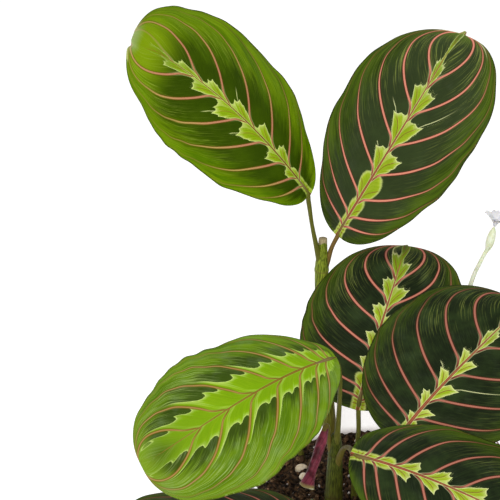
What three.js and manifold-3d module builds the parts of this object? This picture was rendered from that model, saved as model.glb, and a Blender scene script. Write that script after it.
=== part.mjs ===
// A potted prayer plant (maranta): broad oval leaves on thin stalks, which rise
// from three leafy stems and straight from the soil of a plain tapered pot.
// Millimetres, +Z up, +Y away from the viewer, angles in degrees. The origin is
// the centre of the pot's flat underside.
import * as THREE from 'three';
import { mergeVertices } from 'three/addons/utils/BufferGeometryUtils.js';
import Module from 'manifold-3d';

const wasm = await Module();
wasm.setup();

// Driving dimensions of the pot and the soil.
const GAP = 0.3; // air between pieces that touch
const POT_HEIGHT = 112;
const POT_RIM_RADIUS = 72;
const POT_BASE_RADIUS = 50;
const POT_WALL = 4;
const POT_FLOOR = 6;
const POT_EDGE = 2; // bevel of the foot and rounding of the rim
const POT_SIDES = 48; // of the pot and of the soil in it
const SOIL_TOP = 95;
const SOIL_ROUGHNESS = 1.6;
const SOIL_RINGS = 7;

// Driving dimensions that all leaves share.
const BLADE_THICKNESS = 0.7;
const BLADE_ROWS = 12;
const BLADE_COLUMNS = 6;
const BLADE_FULLNESS = 0.45; // 0.5 makes an ellipse, less is squarer
const BLADE_BODY_END = 0.975; // share of the length at which the pointed tip starts
const BLADE_SKEW = 0.1; // how much wider the outer half is
const BLADE_END_WIDTH = 0.03; // half width left at both ends, as a share
const BLADE_TIP_WIDTH = 0.08; // half width where the pointed tip starts, as a share
const BLADE_TIP_SHARE = 0.06; // share of the length that the pointed tip takes
const BASE_LOBE = 2.5; // how far the two lobes reach back past the stalk
const RIPPLES = 3; // waves along each margin
const TIP_CURL_START = 0.82;
const MIDRIB_STATIONS = 120;
const RIB_DEPTH = 0.5; // how far the end of the stalk lies under the blade
const RIB_RADIUS = 1.3;
const RIB_END_RADIUS = 0.7;
const RIB_SHARE = 0.1; // share of the blade that the end of the stalk runs under
const STALK_SIDES = 6;
const STEM_SIDES = 10;

const LEAF_BRIGHT = { color: 0x5b9418, roughness: 0.45, metalness: 0 };
const LEAF_DARK = { color: 0x27471f, roughness: 0.4, metalness: 0 };
const STEM_GREEN = { color: 0x6f7d35, roughness: 0.55, metalness: 0 };
const YOUNG_PURPLE = { color: 0x7d3650, roughness: 0.5, metalness: 0 };
const POT_WHITE = { color: 0xf1f0ec, roughness: 0.35, metalness: 0 };
const SOIL_BROWN = { color: 0x2c1e16, roughness: 0.95, metalness: 0 };
const PEBBLE_CREAM = { color: 0xd9cbaa, roughness: 0.8, metalness: 0 };
const PETAL_WHITE = { color: 0xf6f4f6, roughness: 0.6, metalness: 0 };
const BRACT_GREEN = { color: 0xb9c58c, roughness: 0.6, metalness: 0 };

// Stems and stalks are rows of [x, y, z, radius] from the foot upwards.
const STEMS = [
  {
    name: 'stem_tall', // ends in an old cut
    path: [
      [-22, 48, 77, 4.4],
      [-23, 51, 101, 4.2],
      [-24.5, 57, 121, 3.9],
      [-26.6, 65, 150, 3.7],
      [-28.5, 70, 180, 3.6],
      [-28.2, 70, 196, 4],
      [-28, 70, 203, 3],
      [-27.8, 70, 212, 2.5],
    ],
  },
  {
    name: 'stem_front',
    path: [
      [-24, -28, 77, 4.9],
      [-24, -30, 101, 5],
      [-23.6, -31, 124, 4.5],
      [-23.4, -31.5, 140, 3.7],
      [-23.2, -32, 148, 2.6],
    ],
  },
  {
    name: 'stem_right',
    path: [
      [34, 36, 77, 4.2],
      [38, 42, 101, 4.1],
      [42, 46, 121, 3.8],
      [60, 56, 152, 3.5],
      [79, 64, 186, 3.2],
      [87, 66, 206, 3],
    ],
  },
];

const LEAVES = [
  {
    name: 'leaf_upper_left',
    finish: LEAF_BRIGHT,
    stem: 'stem_tall',
    stalk: [[-28.3, 70, 188, 2.6], [-29.4, 69.4, 198, 2.1], [-31, 68.5, 206, 1.6], [-34, 66, 222, 1.2],
      [-36, 64.4, 236, 1.4]],
    base: [-37, 64, 242.5],
    heading: 179, pitch: 55, droop: 25, sweep: 16, bend: -11,
    roll: 25, twist: 20, length: 131, width: 88,
    bow: 0.16, lopside: 0.07, curl: -10, ripple: 1.2, ripplePhase: 0.1,
  },
  {
    name: 'leaf_upper_right',
    finish: LEAF_DARK,
    stem: 'stem_tall',
    stalk: [[-28, 70, 190, 2.4], [-25.4, 70, 198, 1.8], [-22.8, 70, 207, 1.3]],
    base: [-19, 70, 216],
    heading: 16, pitch: 59, droop: 14, sweep: 31, bend: 1,
    roll: -15, twist: 14, length: 131, width: 102,
    bow: 0.03, lopside: -0.04, curl: 25, ripple: 0.8, ripplePhase: 0.4,
  },
  {
    name: 'leaf_middle',
    finish: LEAF_DARK,
    stalk: [[-11, -4, 77, 1.9], [-12, -8, 101, 1.8], [-12, -13, 122, 1.4], [-10.8, -14.5, 140, 1.3]],
    base: [-11, -14, 155],
    heading: 74, pitch: 36, droop: 11, sweep: 2, bend: -5,
    roll: -4, twist: 7, length: 108, width: 87,
    bow: 0.13, lopside: -0.04, curl: 20, ripple: 0.6, ripplePhase: 0.7,
  },
  {
    name: 'leaf_right',
    finish: LEAF_DARK,
    stalk: [[6, -22, 77, 1.9], [6, -27, 101, 1.8], [5.5, -38, 130, 1.3], [6.3, -44.5, 147, 1.4]],
    base: [8, -45, 154],
    heading: 47, pitch: 30, droop: 19, sweep: 8, bend: -6,
    roll: -20, twist: 3, length: 114, width: 97,
    bow: 0.11, lopside: -0.04, curl: 17, ripple: 0.6, ripplePhase: 0.2,
  },
  {
    name: 'leaf_lower_left',
    finish: LEAF_BRIGHT,
    stem: 'stem_front',
    stalk: [[-23.3, -31.7, 136, 2.4], [-22.8, -33.5, 148, 1.8], [-22.3, -36, 160, 1.4],
      [-22.2, -43, 183, 1.2], [-23.6, -48, 196, 1.4]],
    base: [-27, -50, 201.5],
    heading: 197, pitch: -9, droop: 27, sweep: -17, bend: 17,
    roll: 14, twist: 24, length: 113, width: 81,
    bow: 0.06, lopside: -0.05, curl: 6, ripple: 1.6, ripplePhase: 0.3,
  },
  {
    name: 'leaf_front',
    finish: LEAF_DARK,
    stem: 'stem_front',
    stalk: [[-23.5, -31.5, 126, 2.4], [-21.5, -35, 136, 1.9], [-19.6, -46, 148, 1.4], [-17.4, -62, 157, 1.4]],
    base: [-15.5, -77, 162],
    heading: -12, pitch: -9, droop: 18, sweep: 1, bend: -6,
    roll: -15, twist: -3, length: 113, width: 90,
    bow: 0.13, lopside: 0.01, curl: 20, ripple: 0.8, ripplePhase: 0.6,
  },
  {
    name: 'leaf_low_left',
    finish: LEAF_DARK,
    stalk: [[-31, -38, 77, 1.9], [-33, -43, 101, 1.8], [-35, -55, 121, 1.4], [-37, -69, 129, 1.3]],
    base: [-38, -83, 128],
    heading: 184, pitch: 4, droop: 11, sweep: 0, bend: 2,
    roll: 4, twist: 4, length: 100, width: 72,
    bow: 0.12, lopside: 0.02, curl: 18, ripple: 1, ripplePhase: 0.5,
  },
  {
    name: 'leaf_back_left',
    finish: LEAF_DARK,
    stalk: [[-36, 30, 77, 1.8], [-40, 34, 101, 1.7], [-45, 38, 118, 1.3]],
    base: [-51, 44, 127],
    heading: 150, pitch: 8, droop: 40, sweep: 0, bend: 0,
    roll: 0, twist: 0, length: 84, width: 62,
    bow: 0.12, lopside: 0, curl: 16, ripple: 1, ripplePhase: 0.1,
  },
  {
    name: 'leaf_back',
    finish: LEAF_DARK,
    stalk: [[6, 30, 77, 1.9], [6, 36, 101, 1.8], [7, 48, 126, 1.3]],
    base: [9, 62, 138],
    heading: 92, pitch: 12, droop: 40, sweep: 0, bend: 0,
    roll: 4, twist: 0, length: 112, width: 76,
    bow: 0.12, lopside: 0.02, curl: 18, ripple: 1, ripplePhase: 0.8,
  },
  {
    name: 'leaf_back_upper',
    finish: LEAF_DARK,
    stalk: [[16, 32, 77, 1.9], [17, 38, 101, 1.8], [16, 48, 129, 1.4], [14, 63, 148, 1.3]],
    base: [12, 80, 156],
    heading: 86, pitch: 8, droop: 34, sweep: 4, bend: 0,
    roll: -4, twist: 0, length: 100, width: 68,
    bow: 0.12, lopside: 0.02, curl: 18, ripple: 1, ripplePhase: 0.45,
  },
  {
    name: 'leaf_back_right',
    finish: LEAF_DARK,
    stem: 'stem_right',
    stalk: [[40.6, 44.6, 114, 2.4], [44, 53, 129, 1.6], [50, 65, 141, 1.3]],
    base: [58, 78, 148],
    heading: 44, pitch: 5, droop: 30, sweep: 0, bend: 0,
    roll: 0, twist: 6, length: 112, width: 78,
    bow: 0.12, lopside: 0, curl: 18, ripple: 1, ripplePhase: 0.3,
  },
  {
    name: 'leaf_top_right',
    finish: LEAF_BRIGHT,
    stem: 'stem_right',
    stalk: [[85, 65.5, 201, 2], [90, 65, 213, 1.5], [94, 62, 227, 1.3]],
    base: [96, 57, 237],
    heading: 2, pitch: 42, droop: 26, sweep: -12, bend: 4,
    roll: -14, twist: 10, length: 116, width: 80,
    bow: 0.12, lopside: 0.03, curl: 18, ripple: 1, ripplePhase: 0.6,
  },
  {
    name: 'leaf_upper_far_right',
    finish: LEAF_DARK,
    stem: 'stem_right',
    stalk: [[76.4, 62.9, 181.4, 2], [81, 56, 191, 1.5], [85, 46, 201, 1.3]],
    base: [88, 35, 207],
    heading: -30, pitch: 20, droop: 30, sweep: 0, bend: -4,
    roll: -6, twist: 0, length: 118, width: 82,
    bow: 0.12, lopside: -0.03, curl: 18, ripple: 1, ripplePhase: 0.9,
  },
  {
    name: 'leaf_far_right',
    finish: LEAF_DARK,
    stalk: [[36, -8, 77, 1.9], [40, -10, 101, 1.8], [56, -16, 130, 1.4], [72, -19, 149, 1.3]],
    base: [84, -20, 157],
    heading: -8, pitch: 18, droop: 32, sweep: 6, bend: 0,
    roll: -8, twist: 0, length: 116, width: 80,
    bow: 0.12, lopside: 0.03, curl: 18, ripple: 1, ripplePhase: 0.4,
  },
  {
    name: 'leaf_low_right',
    finish: LEAF_DARK,
    stalk: [[44, 10, 77, 1.8], [48, 11, 101, 1.7], [58, 14, 120, 1.3]],
    base: [72, 18, 128],
    heading: 18, pitch: 0, droop: 34, sweep: 0, bend: 0,
    roll: 0, twist: 0, length: 98, width: 70,
    bow: 0.12, lopside: 0, curl: 16, ripple: 1, ripplePhase: 0.2,
  },
  {
    name: 'leaf_front_right',
    finish: LEAF_DARK,
    stalk: [[34, -28, 77, 1.9], [38, -32, 101, 1.8], [47, -44, 122, 1.3]],
    base: [58, -58, 130],
    heading: -38, pitch: -2, droop: 34, sweep: 0, bend: 0,
    roll: 4, twist: 0, length: 106, width: 74,
    bow: 0.12, lopside: 0.02, curl: 18, ripple: 1, ripplePhase: 0.7,
  },
  {
    name: 'leaf_front_left',
    finish: LEAF_DARK,
    stalk: [[-14, -40, 77, 1.8], [-16, -45, 101, 1.7], [-21, -60, 121, 1.3], [-25, -72, 125, 1.3]],
    base: [-30, -84, 120],
    heading: 232, pitch: -16, droop: 34, sweep: 0, bend: 4,
    roll: 0, twist: 0, length: 96, width: 68,
    bow: 0.12, lopside: 0.02, curl: 16, ripple: 1, ripplePhase: 0.65,
  },
  {
    name: 'leaf_front_low',
    finish: LEAF_DARK,
    stalk: [[-2, -42, 77, 1.9], [-2, -47, 101, 1.8], [-1, -58, 120, 1.4], [0, -72, 127, 1.3]],
    base: [1, -86, 124],
    heading: -94, pitch: -6, droop: 42, sweep: 0, bend: 0,
    roll: 0, twist: 4, length: 106, width: 74,
    bow: 0.12, lopside: 0, curl: 18, ripple: 1, ripplePhase: 0.5,
  },
];

// The young leaf is a rolled sheet that hangs from its own short stalk.
const ROLL_AXIS = [[-29, -38, 155], [-32, -43, 147], [-35.5, -49, 138.5], [-39, -55.5, 130]];
const ROLL_STALK = [[-23.8, -31, 128, 2], [-26.4, -32, 142, 1.5], [-27.6, -34, 153, 1.2]];
const ROLL_TOP_RADIUS = 1.4;
const ROLL_END_RADIUS = 4.4;
const ROLL_TURNS = 1.3;
const ROLL_PITCH = 1.5; // growth of the radius over one turn
const ROLL_NECK = [1.8, 0.8]; // radii of the stalk at the first two points of the axis
const ROLL_ROWS = 6;
const ROLL_COLUMNS = 12;

// The flower stands on a thin stalk of its own.
const FLOWER_STALK = [
  [28, 30, 77, 1.5],
  [31, 36, 101, 1.4],
  [41, 50, 150, 1.2],
  [52.5, 60, 189, 1.2],
  [57, 60, 202, 1.1],
  [60.5, 60, 210, 1.1],
];
const BRACT_LENGTH = 16;
const BRACT_RADIUS = 2.4;
const BRACT_OVERLAP = 2; // how far the bract reaches down over the stalk
const BRACT_RINGS = 6;
const FLOWER_LEAN = 12; // degrees to the right
const PETAL_COUNT = 5;
const PETAL_SPREAD = 6.75; // how far a petal reaches out
const PETAL_RISE = 4; // and up
const PETAL_WIDTH = 6;
const PETAL_CUP = 0.8; // how far the sides of a petal's end turn up
const PETAL_THICKNESS = 0.6;
const PETAL_ROWS = 3;
const BLOOM_CORE_RADIUS = 1.3;
const BLOOM_CORE_HEIGHT = 2.1; // half of it

// Pebbles as [x, y, half length, half width, half height, turn].
const PEBBLE_RISE = 0.3; // how high its centre lies over the soil, as a share of its half height
const PEBBLES = [
  [-39.5, 23, 3.9, 3, 2.7, 20],
  [-38.5, 12, 2.8, 2.4, 2, 70],
  [22, -48, 3.4, 2.6, 2.2, -30],
  [52, 26, 3.8, 2.8, 2.4, 50],
  [-6, 52, 3.2, 2.6, 2.2, 10],
];

const degToRad = THREE.MathUtils.degToRad;

function solidFrom(geometry) {
  const bare = geometry.clone();
  bare.deleteAttribute('normal');
  bare.deleteAttribute('uv');
  const merged = mergeVertices(bare, 1e-4);
  return new wasm.Manifold(new wasm.Mesh({
    numProp: 3,
    vertProperties: new Float32Array(merged.attributes.position.array),
    triVerts: new Uint32Array(merged.index.array),
  }));
}

function geometryFrom(solid) {
  const mesh = solid.getMesh();
  const geometry = new THREE.BufferGeometry();
  geometry.setAttribute('position', new THREE.BufferAttribute(mesh.vertProperties, 3));
  geometry.setIndex(new THREE.BufferAttribute(mesh.triVerts, 1));
  geometry.computeVertexNormals();
  return geometry;
}

function geometryOf(points, triangles) {
  const geometry = new THREE.BufferGeometry();
  geometry.setFromPoints(points);
  geometry.setIndex(triangles);
  geometry.computeVertexNormals();
  return geometry;
}

// A closed sheet of even thickness round the surface pointAt(row, column). Both
// faces are split into triangles alike, so that they stay parallel.
function sheetSolid(pointAt, rows, columns, thickness) {
  const wide = columns + 1;
  const middle = [];
  for (let row = 0; row <= rows; row += 1) {
    for (let column = 0; column <= columns; column += 1) {
      middle.push(pointAt(row, column));
    }
  }
  const at = (row, column) => middle[row * wide + column];
  const faces = [[], []];
  for (let row = 0; row <= rows; row += 1) {
    for (let column = 0; column <= columns; column += 1) {
      const ahead = at(Math.min(row + 1, rows), column);
      const behind = at(Math.max(row - 1, 0), column);
      const right = at(row, Math.min(column + 1, columns));
      const left = at(row, Math.max(column - 1, 0));
      const alongRow = right.clone().sub(left);
      const alongColumn = ahead.clone().sub(behind);
      const normal = alongRow.cross(alongColumn).normalize();
      faces[0].push(at(row, column).clone().addScaledVector(normal, thickness / 2));
      faces[1].push(at(row, column).clone().addScaledVector(normal, -thickness / 2));
    }
  }
  const below = middle.length;
  const triangles = [];
  for (let row = 0; row < rows; row += 1) {
    for (let column = 0; column < columns; column += 1) {
      const a = row * wide + column;
      const b = a + 1;
      const c = a + wide + 1;
      const d = a + wide;
      triangles.push(a, b, c, a, c, d);
      triangles.push(below + a, below + c, below + b, below + a, below + d, below + c);
    }
  }
  const rim = [];
  for (let column = 0; column < columns; column += 1) rim.push(column);
  for (let row = 0; row < rows; row += 1) rim.push(row * wide + columns);
  for (let column = columns; column > 0; column -= 1) rim.push(rows * wide + column);
  for (let row = rows; row > 0; row -= 1) rim.push(row * wide);
  rim.forEach((start, i) => {
    const end = rim[(i + 1) % rim.length];
    triangles.push(start, below + end, end, start, below + start, below + end);
  });
  return geometryOf([...faces[0], ...faces[1]], triangles);
}

// A closed round rod through rows of [x, y, z, radius], larger all over by grow.
function rod(path, sides, grow = 0) {
  const curve = new THREE.CatmullRomCurve3(path.map(([x, y, z]) => new THREE.Vector3(x, y, z)));
  const last = path.length - 1;
  const frames = curve.computeFrenetFrames(last);
  const points = [];
  path.forEach(([x, y, z, radius], row) => {
    const tangent = curve.getTangent(row / last);
    const across = frames.normals[row].clone();
    across.addScaledVector(tangent, -across.dot(tangent)).normalize();
    const up = tangent.clone().cross(across);
    const centre = new THREE.Vector3(x, y, z);
    if (row === 0) centre.addScaledVector(tangent, -grow);
    if (row === last) centre.addScaledVector(tangent, grow);
    for (let side = 0; side < sides; side += 1) {
      const turn = (side / sides) * 2 * Math.PI;
      const point = centre.clone().addScaledVector(across, (radius + grow) * Math.cos(turn));
      points.push(point.addScaledVector(up, (radius + grow) * Math.sin(turn)));
    }
  });
  const triangles = [];
  for (let row = 0; row < last; row += 1) {
    for (let side = 0; side < sides; side += 1) {
      const a = row * sides + side;
      const b = row * sides + ((side + 1) % sides);
      triangles.push(a, b, b + sides, a, b + sides, a + sides);
    }
  }
  const end = last * sides;
  for (let side = 1; side < sides - 1; side += 1) {
    triangles.push(0, side + 1, side, end, end + side, end + side + 1);
  }
  return geometryOf(points, triangles);
}

// Directions along, across and out of a blade at u, the share of its length.
function bladeFrame(leaf, u) {
  const tipBend = leaf.curl * THREE.MathUtils.smoothstep(u, TIP_CURL_START, 1);
  const pitch = degToRad(leaf.pitch - leaf.droop * u - tipBend);
  const heading = degToRad(leaf.heading + leaf.sweep * u + leaf.bend * 4 * u * (1 - u));
  const along = new THREE.Vector3(
    Math.cos(pitch) * Math.cos(heading),
    Math.cos(pitch) * Math.sin(heading),
    Math.sin(pitch),
  );
  const across = new THREE.Vector3(Math.sin(heading), -Math.cos(heading), 0);
  across.applyAxisAngle(along, -degToRad(leaf.roll + leaf.twist * u));
  const out = across.clone().cross(along);
  return { u, along, across, out };
}

// The midrib as evenly spaced stations, each a point with its directions.
function midrib(leaf) {
  const stations = [];
  const point = new THREE.Vector3(...leaf.base);
  for (let i = 0; i <= MIDRIB_STATIONS; i += 1) {
    const frame = bladeFrame(leaf, i / MIDRIB_STATIONS);
    stations.push({ ...frame, point: point.clone() });
    point.addScaledVector(frame.along, leaf.length / MIDRIB_STATIONS);
  }
  return stations;
}

// Half width of a blade at u, as a share of half its greatest width: a full
// oval with a short pointed tip.
function bladeHalfWidth(u) {
  const share = Math.min(u / BLADE_BODY_END, 1);
  const oval = (4 * share * (1 - share)) ** BLADE_FULLNESS * (1 + BLADE_SKEW * (share - 0.5));
  const fromTip = Math.min((1 - u) / BLADE_TIP_SHARE, 1);
  const tip = u > TIP_CURL_START ? BLADE_TIP_WIDTH * fromTip ** 0.8 : 0;
  return Math.max(oval, tip, BLADE_END_WIDTH);
}

// A point of the blade at v across it, from -1 to 1: bowed down to the margins,
// rippled along them, with two short lobes at the base.
function bladePoint(leaf, station, v) {
  const half = leaf.width / 2;
  const reach = bladeHalfWidth(station.u) * v;
  const phase = RIPPLES * station.u + leaf.ripplePhase + 0.25 * Math.sign(v);
  const wave = Math.sin(2 * Math.PI * phase);
  const rise = leaf.ripple * wave * Math.abs(v) ** 3 - leaf.bow * half * reach ** 2;
  const back = BASE_LOBE * v ** 2 * (1 - station.u) ** 10;
  return station.point.clone()
    .addScaledVector(station.across, half * reach * (1 + leaf.lopside * v))
    .addScaledVector(station.out, rise)
    .addScaledVector(station.along, -back);
}

function bladeGeometry(leaf, stations) {
  const pointAt = (row, column) => {
    const u = (1 - Math.cos((row / BLADE_ROWS) * Math.PI)) / 2;
    const station = stations[Math.round(u * MIDRIB_STATIONS)];
    return bladePoint(leaf, station, (2 * column) / BLADE_COLUMNS - 1);
  };
  return sheetSolid(pointAt, BLADE_ROWS, BLADE_COLUMNS, BLADE_THICKNESS);
}

// The stalk runs on under the blade as the start of its midrib.
function stalkPath(leaf, stations) {
  const under = (share, depth, radius) => {
    const station = stations[Math.round(share * MIDRIB_STATIONS)];
    const point = station.point.clone().addScaledVector(station.out, -depth);
    return [point.x, point.y, point.z, radius];
  };
  return [...leaf.stalk, under(0, RIB_DEPTH, RIB_RADIUS), under(RIB_SHARE, RIB_DEPTH, RIB_END_RADIUS)];
}

function stemPath(name) {
  return STEMS.find((stem) => stem.name === name).path;
}

function leafSolid(leaf) {
  const stations = midrib(leaf);
  const blade = solidFrom(bladeGeometry(leaf, stations));
  const whole = blade.add(solidFrom(rod(stalkPath(leaf, stations), STALK_SIDES)));
  if (!leaf.stem) return whole;
  return whole.subtract(solidFrom(rod(stemPath(leaf.stem), STEM_SIDES, GAP)));
}

// The rolled leaf: a sheet wound round its axis, wider towards the open end.
function rolledLeafSolid() {
  const axis = new THREE.CatmullRomCurve3(ROLL_AXIS.map((point) => new THREE.Vector3(...point)));
  const frames = axis.computeFrenetFrames(ROLL_ROWS);
  const pointAt = (row, column) => {
    const share = row / ROLL_ROWS;
    const turns = (column / ROLL_COLUMNS) * ROLL_TURNS;
    const angle = -turns * 2 * Math.PI;
    const radius = THREE.MathUtils.lerp(ROLL_TOP_RADIUS, ROLL_END_RADIUS, share) + ROLL_PITCH * turns;
    return axis.getPoint(share)
      .addScaledVector(frames.normals[row], radius * Math.cos(angle))
      .addScaledVector(frames.binormals[row], radius * Math.sin(angle));
  };
  const sheet = solidFrom(sheetSolid(pointAt, ROLL_ROWS, ROLL_COLUMNS, BLADE_THICKNESS));
  const neck = ROLL_NECK.map((radius, i) => [...ROLL_AXIS[i], radius]);
  const stalk = [...ROLL_STALK, ...neck];
  const whole = sheet.add(solidFrom(rod(stalk, STALK_SIDES)));
  return whole.subtract(solidFrom(rod(stemPath('stem_front'), STEM_SIDES, GAP)));
}

function potGeometry() {
  const baseInner = POT_BASE_RADIUS - POT_WALL;
  const rimInner = POT_RIM_RADIUS - POT_WALL;
  const lip = POT_EDGE / 2;
  const profile = [
    [0, 0],
    [POT_BASE_RADIUS - POT_EDGE, 0],
    [POT_BASE_RADIUS, POT_EDGE],
    [POT_RIM_RADIUS, POT_HEIGHT - POT_EDGE],
    [POT_RIM_RADIUS - lip / 2, POT_HEIGHT - lip / 2],
    [POT_RIM_RADIUS - POT_EDGE, POT_HEIGHT],
    [rimInner + lip / 2, POT_HEIGHT - lip / 2],
    [rimInner, POT_HEIGHT - POT_EDGE],
    [baseInner, POT_FLOOR + POT_EDGE],
    [baseInner - POT_EDGE, POT_FLOOR],
    [0, POT_FLOOR],
  ];
  const outline = profile.map(([radius, height]) => new THREE.Vector2(radius, height));
  const geometry = new THREE.LatheGeometry(outline, POT_SIDES);
  return geometry.rotateX(Math.PI / 2);
}

// Inner radius of the pot at a height above its floor.
function potInnerRadius(height) {
  const share = (height - POT_FLOOR - POT_EDGE) / (POT_HEIGHT - POT_FLOOR - 2 * POT_EDGE);
  return THREE.MathUtils.lerp(POT_BASE_RADIUS, POT_RIM_RADIUS, share) - POT_WALL;
}

// Height of the crumbly soil surface: clods about 10 mm across on a slow swell.
function soilHeight(x, y) {
  const clods = Math.sin(0.55 * x + 0.3 * y) * Math.sin(0.47 * y - 0.2 * x + 1);
  const swell = Math.sin(0.09 * x + 1) * Math.cos(0.08 * y);
  const grain = Math.sin(0.9 * x - 0.7 * y);
  return SOIL_TOP + SOIL_ROUGHNESS * (0.6 * clods + 0.5 * swell + 0.3 * grain);
}

// The soil fills the pot: a plain tapered plug with an uneven top.
function soilGeometry() {
  const baseInner = POT_BASE_RADIUS - POT_WALL;
  const topRadius = potInnerRadius(SOIL_TOP) - GAP;
  const profile = [
    [0, POT_FLOOR + GAP],
    [baseInner - POT_EDGE - GAP, POT_FLOOR + GAP],
    [baseInner - GAP, POT_FLOOR + POT_EDGE + GAP],
  ];
  for (let ring = SOIL_RINGS; ring >= 0; ring -= 1) {
    profile.push([(topRadius * ring) / SOIL_RINGS, SOIL_TOP]);
  }
  const outline = profile.map(([radius, height]) => new THREE.Vector2(radius, height));
  const geometry = new THREE.LatheGeometry(outline, POT_SIDES).rotateX(Math.PI / 2);
  const position = geometry.attributes.position;
  for (let i = 0; i < position.count; i += 1) {
    const x = position.getX(i);
    const y = position.getY(i);
    const onTop = position.getZ(i) > SOIL_TOP - GAP;
    const inside = Math.hypot(x, y) < topRadius - GAP;
    if (onTop && inside) position.setZ(i, soilHeight(x, y));
  }
  return geometry;
}

function pebbleGeometry([x, y, length, width, height, turn], grow = 0) {
  const geometry = new THREE.IcosahedronGeometry(1, 1);
  geometry.scale(length + grow, width + grow, height + grow);
  geometry.rotateZ(degToRad(turn));
  return geometry.translate(x, y, soilHeight(x, y) + PEBBLE_RISE * height);
}

// Soil with a plain hole for every stem and stalk and a pocket for each pebble.
function soilSolid() {
  const stalks = LEAVES.filter((leaf) => !leaf.stem).map((leaf) => [leaf.stalk, STALK_SIDES]);
  const stems = STEMS.map((stem) => [stem.path, STEM_SIDES]);
  const standing = [...stalks, ...stems, [FLOWER_STALK, STALK_SIDES]];
  let soil = solidFrom(soilGeometry());
  for (const [path, sides] of standing) {
    soil = soil.subtract(solidFrom(rod(path, sides, GAP)));
  }
  for (const pebble of PEBBLES) {
    soil = soil.subtract(solidFrom(pebbleGeometry(pebble, GAP)));
  }
  return soil;
}

// The green bract that the flower comes out of, a slender spindle.
function bractGeometry() {
  const outline = [new THREE.Vector2(0, 0)];
  for (let ring = 1; ring < BRACT_RINGS; ring += 1) {
    const share = ring / BRACT_RINGS;
    const radius = BRACT_RADIUS * Math.sin(Math.PI * share) ** 0.7;
    outline.push(new THREE.Vector2(radius, share * BRACT_LENGTH));
  }
  outline.push(new THREE.Vector2(0, BRACT_LENGTH));
  return new THREE.LatheGeometry(outline, STALK_SIDES).rotateX(Math.PI / 2);
}

const [FLOWER_X, FLOWER_Y, FLOWER_Z] = FLOWER_STALK.at(-1);

function flowerStalkSolid() {
  const bract = bractGeometry().rotateY(degToRad(FLOWER_LEAN));
  bract.translate(FLOWER_X, FLOWER_Y, FLOWER_Z - BRACT_OVERLAP);
  return solidFrom(rod(FLOWER_STALK, STALK_SIDES)).add(solidFrom(bract));
}

// A petal: narrow at both ends, rising from the core as it spreads.
function petalPoint(share, side) {
  const half = (PETAL_WIDTH / 2) * Math.sin(Math.PI * (0.12 + 0.8 * share)) ** 0.8;
  const rise = PETAL_RISE * share * (2 - share) + PETAL_CUP * side ** 2 * share;
  return new THREE.Vector3(half * side, PETAL_SPREAD * share, rise);
}

// The bloom: petals round a small core that stands on the bract's tip.
function bloomSolid() {
  const core = new THREE.SphereGeometry(BLOOM_CORE_RADIUS, 6, 4);
  let bloom = solidFrom(core.scale(1, 1, BLOOM_CORE_HEIGHT / BLOOM_CORE_RADIUS));
  for (let petal = 0; petal < PETAL_COUNT; petal += 1) {
    const pointAt = (row, column) => petalPoint(row / PETAL_ROWS, column - 1);
    const sheet = sheetSolid(pointAt, PETAL_ROWS, 2, PETAL_THICKNESS);
    bloom = bloom.add(solidFrom(sheet.rotateZ((petal / PETAL_COUNT) * 2 * Math.PI)));
  }
  return bloom;
}

function bloomGeometry() {
  const lean = degToRad(FLOWER_LEAN);
  const rise = BRACT_LENGTH + GAP + BLOOM_CORE_HEIGHT;
  const geometry = geometryFrom(bloomSolid()).rotateY(lean);
  geometry.translate(rise * Math.sin(lean), 0, rise * Math.cos(lean) - BRACT_OVERLAP);
  return geometry.translate(FLOWER_X, FLOWER_Y, FLOWER_Z);
}

const group = new THREE.Group();

function addPiece(name, geometry, finish) {
  const mesh = new THREE.Mesh(geometry, new THREE.MeshStandardMaterial(finish));
  mesh.name = name;
  group.add(mesh);
}

addPiece('pot', potGeometry(), POT_WHITE);
addPiece('soil', geometryFrom(soilSolid()), SOIL_BROWN);
PEBBLES.forEach((pebble, i) => addPiece(`pebble_${i + 1}`, pebbleGeometry(pebble), PEBBLE_CREAM));
for (const stem of STEMS) {
  addPiece(stem.name, rod(stem.path, STEM_SIDES), STEM_GREEN);
}
for (const leaf of LEAVES) {
  addPiece(leaf.name, geometryFrom(leafSolid(leaf)), leaf.finish);
}
addPiece('leaf_rolled', geometryFrom(rolledLeafSolid()), YOUNG_PURPLE);
addPiece('flower_stalk', geometryFrom(flowerStalkSolid()), BRACT_GREEN);
addPiece('flower_bloom', bloomGeometry(), PETAL_WHITE);

export default group;
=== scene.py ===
"""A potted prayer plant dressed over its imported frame, for Blender 4.5.

Sizes and places are written in millimetres and angles in degrees; meshes are in metres.
The origin is the middle of the pot's flat underside, +Z is up and +Y is away from the viewer.
"""

import bpy
import numpy as np
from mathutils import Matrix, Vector


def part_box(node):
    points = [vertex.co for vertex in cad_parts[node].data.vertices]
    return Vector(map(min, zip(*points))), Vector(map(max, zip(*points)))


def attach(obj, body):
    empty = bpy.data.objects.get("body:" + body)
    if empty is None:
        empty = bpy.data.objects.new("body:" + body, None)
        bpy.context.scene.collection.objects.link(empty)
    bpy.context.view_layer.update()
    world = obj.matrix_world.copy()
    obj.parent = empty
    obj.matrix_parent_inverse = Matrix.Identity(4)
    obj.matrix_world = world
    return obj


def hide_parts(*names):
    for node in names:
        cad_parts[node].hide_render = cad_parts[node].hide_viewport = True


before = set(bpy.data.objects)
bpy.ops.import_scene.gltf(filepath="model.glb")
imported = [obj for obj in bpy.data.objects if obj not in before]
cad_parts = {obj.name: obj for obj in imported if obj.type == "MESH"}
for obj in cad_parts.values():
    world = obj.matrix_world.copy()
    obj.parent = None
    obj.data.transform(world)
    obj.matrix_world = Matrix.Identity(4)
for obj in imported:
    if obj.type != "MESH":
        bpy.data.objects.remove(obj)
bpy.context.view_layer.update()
scene = bpy.context.scene
MM = 0.001


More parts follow.
